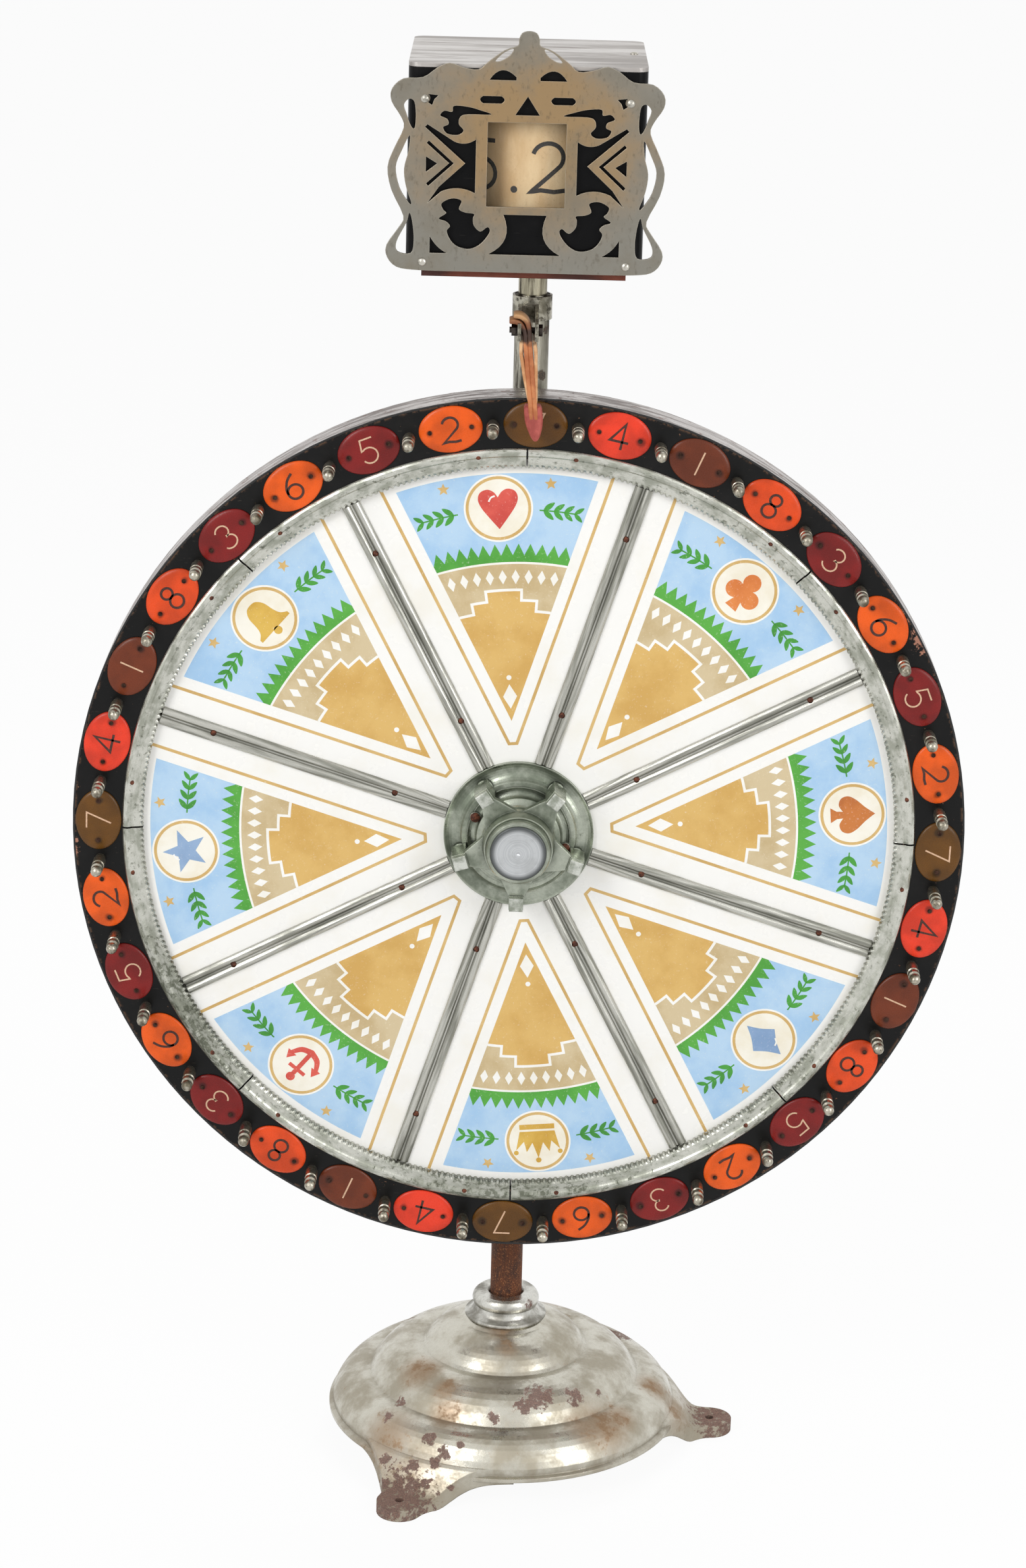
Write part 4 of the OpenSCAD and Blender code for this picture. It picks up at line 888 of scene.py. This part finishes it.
def resin(name, colour):
    """Cast resin: deep colour with a cloudy swirl, a painted highlight on its edges, and a dark stain round
    each pin.
    """
    material, tree, shader, place = new_material(name)
    swirl = noise(tree, place, 38.0, 3.0, 0.5)
    speck = noise(tree, place, 700.0, 3.0, 0.6)
    corner = corner_of(tree, 0.005)
    dark = tuple(int(v * 0.86) for v in colour)
    light = tuple(min(255, int(v * 1.1 + 6)) for v in colour)
    tone = veil(tree, tint(*dark), swirl, 0.34, 0.66, colour)
    # Painted highlight: the rounded edges lightened
    tone = mixed(tree, times(tree, corner.outputs["Edge"], 0.5), tone, tint(*light))
    tone = veil(tree, tone, speck, 0.68, 0.78, [v // 2 for v in colour], 0.3)
    across, _, up, _, radius = from_axle(tree, place)
    turn = less(tree, calc(tree, "ARCTAN2", across, up), math.radians(WHEEL_TURN))
    local = calc(tree, "PINGPONG", turn, math.radians(TAG_STEP / 2))
    side = less(tree, times(tree, radius, local), PIN_U * MM)
    pin = put(tree, "CombineXYZ", {"X": side, "Y": less(tree, radius, TAG_R * MM)}).outputs[0]
    away = plus(tree, length(tree, pin), spread(tree, swirl, 0.3, 0.7, -0.0012, 0.0012))
    tone = veil(tree, tone, away, 0.0056, 0.002, [v // 3 for v in colour], 0.7)
    feed(tree, shader, colour=tone, rough=spread(tree, speck, 0.35, 0.7, 0.24, 0.38), gloss=0.3,
         normal=bumped(tree, plus(tree, swirl, times(tree, speck, 0.1)), 0.00025))
    return material


for node, slot, colour in sorted(set(RESINS.values())):
    material = resin("resin_" + slot[4:], colour)
    piece = piece_of(node.replace("tags", "resin"), *resins[node], material, "wheel", slot, True)
    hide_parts(node)
for name, colour, slot in (("dark", (52, 24, 16), "black_wood"), ("cream", (222, 184, 152), "panel")):
    material, tree, shader, place = new_material("fill_" + name)
    crumb = noise(tree, place, 900.0, 3.0, 0.6)
    tone = veil(tree, tint(*colour), crumb, 0.45, 0.72, (128, 78, 54), 0.35)
    feed(tree, shader, colour=tone, rough=0.6, normal=bumped(tree, crumb, 0.0003))
    piece_of("engraved_" + name, *fills[name], material, "wheel", slot)

# Tag pins
# Two escutcheon pins of dark brown iron are driven through each tag into the rim, their heads
# sunk a little.
finish(plated("pin_iron", (84, 62, 52), (48, 34, 30), (36, 24, 22), 0.4, 200.0, 0.3, 400.0, matt=0.1),
       "tag_pins")

# Pegs
# Turned nickel-plated pegs, driven into the rim: two ring grooves behind the bright domed end,
# grey tarnish towards the rim where the flapper never rubs.
# The ring grooves and the foot are darkened as dirt and painted shade.
finish(plated("peg_nickel", (194, 188, 173), (106, 99, 84), (70, 60, 46), 0.5, 90.0, 0.12, 240.0,
              dirt_and_shade=1.0, reach=0.006, dirt_and_shade_tint=(38, 32, 25), matt=0.04), "pegs")

# Hub
# A nickel-plated flange with two coves, clamped by a five-legged spider over the barrel.
# The nickel has gone greenish grey; the square bolt heads and the spun cap are brighter.
CAP_R = 0.0285
# The coves are darkened as green patina and painted shade, and the ridges rubbed bright with a painted
# highlight.
hub_nickel = plated("hub_nickel", (176, 181, 167), (112, 119, 105), (84, 89, 76), 0.36, 22.0, 0.03, 120.0,
                    dirt_and_shade=0.95, reach=0.014, soften=0.0012, dirt_and_shade_tint=(50, 55, 46), rub_and_highlight=0.8)
finish(hub_nickel, "hub_flange", "hub_spider", "hub_barrel")
finish(plated("bolt_nickel", (214, 216, 208), (150, 155, 142), (104, 106, 92), 0.34, 90.0, 0.02, 200.0,
              soften=0.0018, dirt_and_shade=0.6), "hub_bolts")
material, tree, shader, place = new_material("cap_spun")
radius = from_axle(tree, place)[-1]
spun = noise(tree, put(tree, "CombineXYZ", {"X": radius}).outputs[0], 900.0, 3.0, 0.6)
dulled = noise(tree, place, 60.0, 5.0, 0.6)
colour = veil(tree, tint(206, 208, 209), spun, 0.4, 0.6, (188, 191, 193))
colour = veil(tree, colour, dulled, 0.45, 0.7, (172, 174, 174), 0.5)
# Painted shadow: a dark ring round the cap's rim, where it meets the barrel
colour = veil(tree, colour, radius, CAP_R - 0.0075, CAP_R - 0.001, (92, 95, 95))
feed(tree, shader, colour=colour, metal=1.0, rough=0.36, normal=bumped(tree, spun, 0.0001, 0.001))
finish(material, "dust_cap")

# Friction drive
# A leather-faced disc on the hub's back turns a rubber roller, which is pinned to the long steel
# shaft that goes up to the drum.
finish(timber("disc_leather", (120, 84, 56), (78, 50, 32), (3, 3, 3)), "friction_disc")
material, tree, shader, place = new_material("roller_rubber")
scuff = noise(tree, place, 160.0, 5.0, 0.6)
feed(tree, shader, colour=veil(tree, tint(28, 27, 26), scuff, 0.4, 0.7, (58, 54, 50)),
     rough=0.75, normal=bumped(tree, scuff, 0.0004, 0.0008))
finish(material, "friction_roller")
finish(plated("shaft_steel", (176, 175, 170), (128, 126, 120), (96, 76, 58), 0.3, 30.0, 0.1, 120.0),
       "drum_shaft")

# Flapper bracket
# A plated band round the post with two cheeks that pinch the leather, drawn up by one black bolt.
# The plating is gone from the cheeks, which are dark with grease from the leather.
CLAMP_BARE = [(-4, -112, 1236, 34), (-4, -100, 1224, 26)]
finish(plated("bracket_nickel", (180, 176, 162), (104, 100, 87), (50, 44, 35), 0.56, 50.0, 0.2, 150.0,
              bare=CLAMP_BARE, dirt_and_shade=0.4, rub_and_highlight=0.3, depth=0.0003, soften=0.0008,
              rust_tints=((30, 26, 25), (64, 50, 42))), "flapper_bracket")
finish(plated("bolt_black", (74, 68, 64), (34, 30, 29), (66, 44, 34), 0.4, 80.0, 0.3, 200.0,
              rub_and_highlight=0.4, soften=0.0008, rust_tints=((40, 28, 25), (84, 54, 40))), "bracket_bolt")

# Leather flapper
# Four plies of harness leather, edge-on to the front and pinched by the bracket. The inner two
# curl over to the left above it. The outer two spread below it and then close on the inner ones.
HINGE = (-4.0, -109.0, 1230.0)
LEAN = math.radians(6.0)
PLY_SIDES = 8
GRIP_LOW, GRIP_HIGH = (1.228, 1.234), (1.251, 1.245)
CURL, CURL_END = (1.242, 1.25), (1.251, 1.258)


def hanging(offset, low, high=1232.0):
    """Places down the leather's leaning line, from the clamp to its end."""
    heights = [high + (low - high) * i / 6 for i in range(7)]
    return [(offset + math.tan(LEAN) * max(0.0, HINGE[2] - z), z) for z in heights]


def tube_faces(rings, sides, first=0):
    """Faces of a tube of many rings, closed at both ends. A face's first corner sets its diagonal."""
    faces = []
    for i in range(rings - 1):
        low, high = sides * i, sides * (i + 1)
        for j in range(sides):
            quad = (low + j, high + j, high + (j + 1) % sides, low + (j + 1) % sides)
            faces.append(quad[first:] + quad[:first])
    return faces + [tuple(range(sides)), tuple(sides * (rings - 1) + j for j in range(sides - 1, -1, -1))]


def ply(places, width, thick):
    """One strip of leather swept along places across and up, rounded at its ends."""
    path = curve(places, 6, False)
    points = []
    for i, (x, z) in enumerate(path):
        before, after = path[max(i - 1, 0)], path[min(i + 1, len(path) - 1)]
        way = Vector((after[0] - before[0], after[1] - before[1])).normalized()
        left = min(1.0, (min(i, len(path) - 1 - i) + 0.4) / 3.0) ** 0.5
        half = thick / 2 * (0.5 + 0.5 * left)
        deep = width / 2 * (0.86 + 0.14 * left)
        eased = 0.3 * half
        section = [(-half, -deep + eased), (-half + eased, -deep), (half - eased, -deep),
                   (half, -deep + eased), (half, deep - eased), (half - eased, deep),
                   (-half + eased, deep), (-half, deep - eased)]
        points += [((HINGE[0] + x - a * way.y) * MM, (HINGE[1] + b) * MM, (z + a * way.x) * MM)
                   for a, b in section]
    return points, tube_faces(len(path), PLY_SIDES)


def leather(name, light, dark, rough, gripped=True):
    """Oiled leather: pores, creases along it, a greasy bloom, and black where the clamp grips it."""
    material, tree, shader, place = new_material(name)
    pores = put(tree, "TexVoronoi", {"Vector": place, "Scale": 1500.0}).outputs["Distance"]
    crease = noise(tree, stretched(tree, place, (1, 1, 0.5)), 160.0, 5.0, 0.65)
    grease = noise(tree, place, 70.0, 5.0, 0.6)
    colour = veil(tree, tint(*light), grease, 0.36, 0.64, dark)
    colour = veil(tree, colour, crease, 0.58, 0.74, (96, 54, 32), 0.45)
    if gripped:
        height = put(tree, "SeparateXYZ", {0: place}).outputs[2]
        height = plus(tree, height, spread(tree, grease, 0.3, 0.7, -0.003, 0.003))
        colour = veil(tree, colour, height, *CURL, (104, 62, 38), 0.75)
        colour = veil(tree, colour, height, *CURL_END, (206, 160, 112), 0.85)
        grip = times(tree, spread(tree, height, *GRIP_LOW), spread(tree, height, *GRIP_HIGH))
        colour = mixed(tree, times(tree, grip, 0.93), colour, tint(24, 19, 17))
    feed(tree, shader, colour=colour, rough=rough,
         normal=bumped(tree, plus(tree, crease, times(tree, pores, 0.4)), 0.0005))
    return material


left_outer = [(-5.9, 1241.0), (-6.4, 1231.0), (-6.3, 1222.0), (-4.6, 1212.0), (-2.6, 1200.0),
              (0.4, 1186.0), (3.6, 1172.0)]
right_outer = [(5.9, 1241.0), (6.8, 1231.0), (8.2, 1222.0), (8.4, 1212.0), (8.9, 1200.0),
               (9.2, 1186.0), (9.4, 1172.0)]
left_inner = [(-18.5, 1253.0), (-12.0, 1253.0), (-6.5, 1249.5), (-3.2, 1242.0)] + hanging(-2.2, 1150.0)
right_inner = [(-14.5, 1258.5), (-7.5, 1258.2), (-1.2, 1252.8), (1.6, 1243.0)] + hanging(2.2, 1147.0)
inner_tan = leather("leather_core", (208, 134, 84), (176, 100, 56), 0.55)
# The outer plies are a paler tan: partly their own colour, partly a painted highlight on their front edges.
outer_tan = leather("leather_outer", (230, 184, 138), (200, 142, 94), 0.6)


def bent_plies(name, pair, width, thick, material):
    """Two plies as one piece that bends at the foot of the bracket."""
    store = ([], [])
    for places in pair:
        gather(store, ply(places, width, thick))
    piece = piece_of(name, *store, material, None, "leather", True)
    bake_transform(piece)
    return piece


bent_plies("leather_outer_plies", (left_outer, right_outer), 20.0, 3.4, outer_tan)
piece = bent_plies("leather_inner_plies", (left_inner, right_inner), 21.5, 4.4, inner_tan)
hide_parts("flapper_root", "flapper_tongue")

# Red pad of the flapper
# A folded piece of red leather, wrapped round the end of the plies and stitched there. It strikes
# the pegs, and is drawn in towards its tip.
PAD_RINGS, PAD_SIDES = 15, 24
PAD_TOP, PAD_LONG = 62.0, 33.0
PAD_HALF, PAD_TAPER, PAD_DEEP, PAD_FLARE = 9.3, 5.2, 9.6, 1.6


def squared(half, swing):
    """An oval's swing, pushed out towards a box with round corners."""
    return half * math.copysign(abs(swing) ** 0.5, swing)


points = []
for i in range(PAD_RINGS):
    t = i / (PAD_RINGS - 1)
    at_end = i in (0, PAD_RINGS - 1)
    half = PAD_HALF - 0.3 * math.cos(6 * t) - PAD_TAPER * t ** 2.6 - (1.2 if at_end else 0.0)
    deep = (PAD_DEEP + PAD_FLARE * min(1.0, 2.2 * t)) - (0.9 if at_end else 0.0)
    below = PAD_TOP + PAD_LONG * t
    x, z = HINGE[0] + math.sin(LEAN) * below, HINGE[2] - math.cos(LEAN) * below
    ring = [(squared(half, math.cos(a)), squared(deep, math.sin(a)))
            for a in (2 * math.pi * j / PAD_SIDES for j in range(PAD_SIDES))]
    points += [((x + a) * MM, (HINGE[1] + b) * MM, (z - 0.8 * math.cos(a * 0.5)) * MM) for a, b in ring]
red_leather = leather("leather_red", (192, 94, 84), (156, 66, 58), 0.6, False)
pad = piece_of("red_pad", points, tube_faces(PAD_RINGS, PAD_SIDES, 3), red_leather, "flapper",
               "red_leather", True)
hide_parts("flapper_tip")

# Stem of the box
# A plated tube that slides into the post, where the bracket's band clamps it, and carries the box.
# It is bright with long dark streaks.
finish(plated("stem_nickel", (180, 174, 152), (98, 91, 74), (46, 39, 29), 0.55, 50.0, 0.1, 140.0,
              along=(1, 1, 0.1)), "box_stem")

# Board under the box
# A hardwood board, stained red-brown, on the stem's upper end. The sheet-metal box is screwed down
# on it.
finish(timber("board_red", (128, 58, 34), (76, 30, 20), (0.8, 2, 2), dust=0.5), "box_board")

# Box, lid and window
# The box is folded sheet steel in black enamel, with a pane of glass behind its opening. Its lid
# is bare metal, brushed lengthways and scratched.
material, tree, shader, place = new_material("box_enamel")
dust = noise(tree, place, 24.0, 6.0, 0.65)
scratch = noise(tree, stretched(tree, place, (1, 1, 9)), 60.0, 2.0)
edges_worn_and_lit = corner_of(tree, 0.004)
colour = veil(tree, tint(13, 13, 14), dust, 0.45, 0.75, (27, 26, 26), 0.5)
colour = veil(tree, colour, scratch, 0.7, 0.73, (60, 58, 56), 0.2)
rubbed = times(tree, edges_worn_and_lit.outputs["Edge"], spread(tree, dust, 0.4, 0.6, 0.0, 0.6))
colour = mixed(tree, rubbed, colour, tint(90, 84, 78))
feed(tree, shader, colour=colour, rough=spread(tree, dust, 0.35, 0.7, 0.24, 0.46), gloss=0.09,
     normal=bumped(tree, dust, 0.0003, 0.0008))
finish(material, "box_shell")
finish(plated("lid_bare", (208, 204, 200), (160, 155, 151), (112, 100, 94), 0.4, 34.0, 0.14, 90.0,
              along=(0.12, 1, 1), dirt_and_shade=0.3, rub_and_highlight=0.3, matt=0.12, depth=0.0003,
              rust_tints=((96, 84, 78), (134, 116, 104))), "box_lid")
finish(plated("box_screw", (204, 200, 190), (140, 136, 126), (84, 66, 50), 0.3, 200.0, 0.15, 400.0),
       "box_screws")
material, tree, shader, place = new_material("window_pane")
film = noise(tree, place, 40.0, 5.0, 0.6)
feed(tree, shader, colour=mixed(tree, film, tint(226, 226, 220), tint(206, 202, 190)),
     rough=spread(tree, film, 0.4, 0.7, 0.04, 0.16), gloss=0.15, alpha=0.015)
finish(material, "window_glass")

# Odds drum
# A tin drum on the long shaft, covered with cream paper that has browned with age. The odds are
# drawn on it by hand in ink.
DRUM_R, DRUM_MID = 92.0, 1400.0
DRUM_DIGIT, DRUM_PEN = 2.15, 4.2
DRUM_FOOT, DRUM_TOP = -0.5, 0.15
DRUM_ODDS = ((5, 2), (8, 4), (6, 1), (7, 3))
ODDS_STEP = 90.0
FIRST_TURN, SECOND_TURN, DOT_TURN = -35.0, 7.0, -13.5
material, tree, shader, place = new_material("drum_paper")
fibre = noise(tree, place, 420.0, 4.0, 0.6)
tea = noise(tree, stretched(tree, place, (1, 1, 0.4)), 16.0, 6.0, 0.62)
colour = veil(tree, tint(238, 212, 168), tea, 0.34, 0.68, (206, 168, 118))
colour = veil(tree, colour, fibre, 0.56, 0.75, (176, 138, 94), 0.4)
feed(tree, shader, colour=colour, rough=0.7, normal=bumped(tree, fibre, 0.0002))
finish(material, "odds_drum")


def finely(path, step):
    """The same path with no stretch longer than a step."""
    line = [path[0]]
    for a, b in zip(path, path[1:]):
        count = max(1, math.ceil(math.dist(a, b) / step))
        line += [(a[0] + (b[0] - a[0]) * i / count, a[1] + (b[1] - a[1]) * i / count)
                 for i in range(1, count + 1)]
    return line


def on_drum(solid, turn):
    """Shape drawn flat, wrapped on the drum at a turn counted from the front."""
    points = []
    for u, v, w in solid[0]:
        angle = math.radians(turn) + u / DRUM_R
        radius = DRUM_R + w
        points.append((radius * math.sin(angle) * MM, -radius * math.cos(angle) * MM, (DRUM_MID + v) * MM))
    return points, solid[1]


def written(digit):
    """A line of a number, drawn flat with the drum's pen."""
    line = finely(moved(digit, 0.0, 0.0, 0.0, DRUM_DIGIT), 2.0)
    return ribbon(line, DRUM_PEN, DRUM_FOOT, DRUM_TOP)


numbers = ([], [])
dot = slab(disc(0.0, -22.0, 3.4, 16), DRUM_FOOT, DRUM_TOP)
for pair, (first, second) in enumerate(DRUM_ODDS):
    drawn = [(FIRST_TURN, written(digit)) for digit in DIGITS[first]]
    drawn += [(SECOND_TURN, written(digit)) for digit in DIGITS[second]]
    for turn, solid in drawn + [(DOT_TURN, dot)]:
        gather(numbers, on_drum(solid, turn + ODDS_STEP * pair))
material, tree, shader, place = new_material("drum_ink")
flow = noise(tree, place, 500.0, 3.0, 0.6)
colour = veil(tree, tint(22, 18, 16), flow, 0.45, 0.7, (48, 40, 34))
feed(tree, shader, colour=colour, rough=0.55, normal=bumped(tree, flow, 0.0001))
piece_of("drum_numbers", *numbers, material, "drum", "drum_face")

# Front plate
# A fret-cut plate of plated brass on four short posts: warm and worn towards the middle,
# blue-grey at its edges where the plating is thicker.
material, tree, shader, place = new_material("plate_brass")
haze = noise(tree, place, 18.0, 6.0, 0.6)
fine = noise(tree, stretched(tree, place, (1, 1, 0.5)), 320.0, 3.0)
edges_worn_and_lit = corner_of(tree, 0.004)
away = put(tree, "VectorMath", {0: stretched(tree, place, (1.0, 0.0, 1.25)), 1: (-0.01, 0.0, 1.78)},
           operation="DISTANCE").outputs["Value"]
edge = plus(tree, away, times(tree, less(tree, haze, 0.5), 0.16))
edge = spread(tree, edge, 0.05, 0.15)
colour = mixed(tree, edge, tint(160, 134, 99), tint(139, 136, 127))
colour = veil(tree, colour, haze, 0.42, 0.7, (122, 113, 97), 0.6)
colour = veil(tree, colour, fine, 0.55, 0.75, (92, 84, 70), 0.4)
# Painted highlight: the edges of the plate and its cut-outs lightened
colour = mixed(tree, times(tree, edges_worn_and_lit.outputs["Edge"], 0.6), colour, tint(212, 204, 188))
feed(tree, shader, colour=colour, metal=0.9, rough=spread(tree, haze, 0.35, 0.7, 0.34, 0.5),
     normal=bumped(tree, plus(tree, haze, times(tree, fine, 0.4)), 0.0002, 0.0009))
finish(material, "front_plate")

# Studio
# Pale seamless floor, white to the camera and in reflections, with a soft shadow under the stand.
# Two large soft lamps in front and one above and behind, over an even white surround.
FLOOR_HALF = 60.0


def shown(tree):
    """One for what the camera sees itself, in a reflection or through glass."""
    rays = put(tree, "LightPath").outputs
    return most(tree, rays["Is Camera Ray"], most(tree, rays["Is Glossy Ray"], rays["Is Transmission Ray"]))


material = bpy.data.materials.new("studio_floor")
material.use_nodes = True
tree = material.node_tree
tree.nodes.clear()
matte = put(tree, "BsdfDiffuse", {"Color": (0.9, 0.9, 0.9, 1.0)})
glow = put(tree, "Emission", {"Color": (1.0, 1.0, 1.0, 1.0), "Strength": 1.0})
white = put(tree, "MixShader", {0: times(tree, shown(tree), 0.94), 1: matte.outputs[0], 2: glow.outputs[0]})
put(tree, "OutputMaterial", {"Surface": white.outputs[0]})
mesh = bpy.data.meshes.new("studio_floor")
mesh.from_pydata([(x * FLOOR_HALF, y * FLOOR_HALF, 0) for x, y in ((-1, -1), (1, -1), (1, 1), (-1, 1))], [],
                 [(0, 1, 2, 3)])
mesh.materials.append(material)
floor = bpy.data.objects.new("studio_floor", mesh)
bpy.context.scene.collection.objects.link(floor)

world = bpy.data.worlds.new("studio")
bpy.context.scene.world = world
world.use_nodes = True
tree = world.node_tree
tree.nodes.clear()
strength = spread(tree, shown(tree), 0.0, 1.0, 0.44, 1.0)
sky_light = put(tree, "Background", {"Color": (1.0, 1.0, 1.0, 1.0), "Strength": strength})
put(tree, "OutputWorld", {"Surface": sky_light.outputs[0]})


def lamp(name, place, aim, size, power, shows=True):
    """A soft rectangular lamp, aimed at a place, that may be kept out of reflections."""
    made = bpy.data.lights.new(name, "AREA")
    made.shape = "RECTANGLE"
    made.size, made.size_y = size
    made.energy = power
    holder = bpy.data.objects.new(name, made)
    bpy.context.scene.collection.objects.link(holder)
    holder.location = place
    holder.visible_glossy = shows
    holder.rotation_euler = (Vector(aim) - Vector(place)).to_track_quat("-Z", "Y").to_euler()


lamp("key_left", (-2.4, -3.0, 3.0), (0.0, 0.0, 0.8), (1.6, 2.4), 78.0)
lamp("fill_right", (2.7, -2.6, 2.2), (0.0, 0.0, 0.8), (1.4, 2.4), 45.0)
lamp("top_back", (0.4, 2.2, 3.4), (0.0, 0.0, 0.9), (2.4, 1.4), 45.0, False)

# Camera
# It stands about 3.9 m in front and 2 m up, looks down by 17.7 degrees, and is rolled a little.
# The lens is a long one, so the part is seen with little perspective.
STAND = (-0.01636, -3.90870, 1.98957)
YAW, PITCH, ROLL = 0.14, -17.70, 1.51
LENS = 90.23
camera = bpy.data.objects.new("camera", bpy.data.cameras.new("camera"))
bpy.context.scene.collection.objects.link(camera)
yaw, pitch, roll = (math.radians(v) for v in (YAW, PITCH, ROLL))
ahead = Vector((math.sin(yaw) * math.cos(pitch), math.cos(yaw) * math.cos(pitch), math.sin(pitch)))
level = Vector((math.cos(yaw), -math.sin(yaw), 0.0))
above = level.cross(ahead)
across = math.cos(roll) * level + math.sin(roll) * above
upward = math.cos(roll) * above - math.sin(roll) * level
camera.matrix_world = Matrix.Translation(STAND) @ Matrix((across, upward, -ahead)).transposed().to_4x4()
camera.data.sensor_width = 36.0
camera.data.lens = LENS
bpy.context.scene.camera = camera
bpy.context.scene.view_settings.view_transform = "Standard"
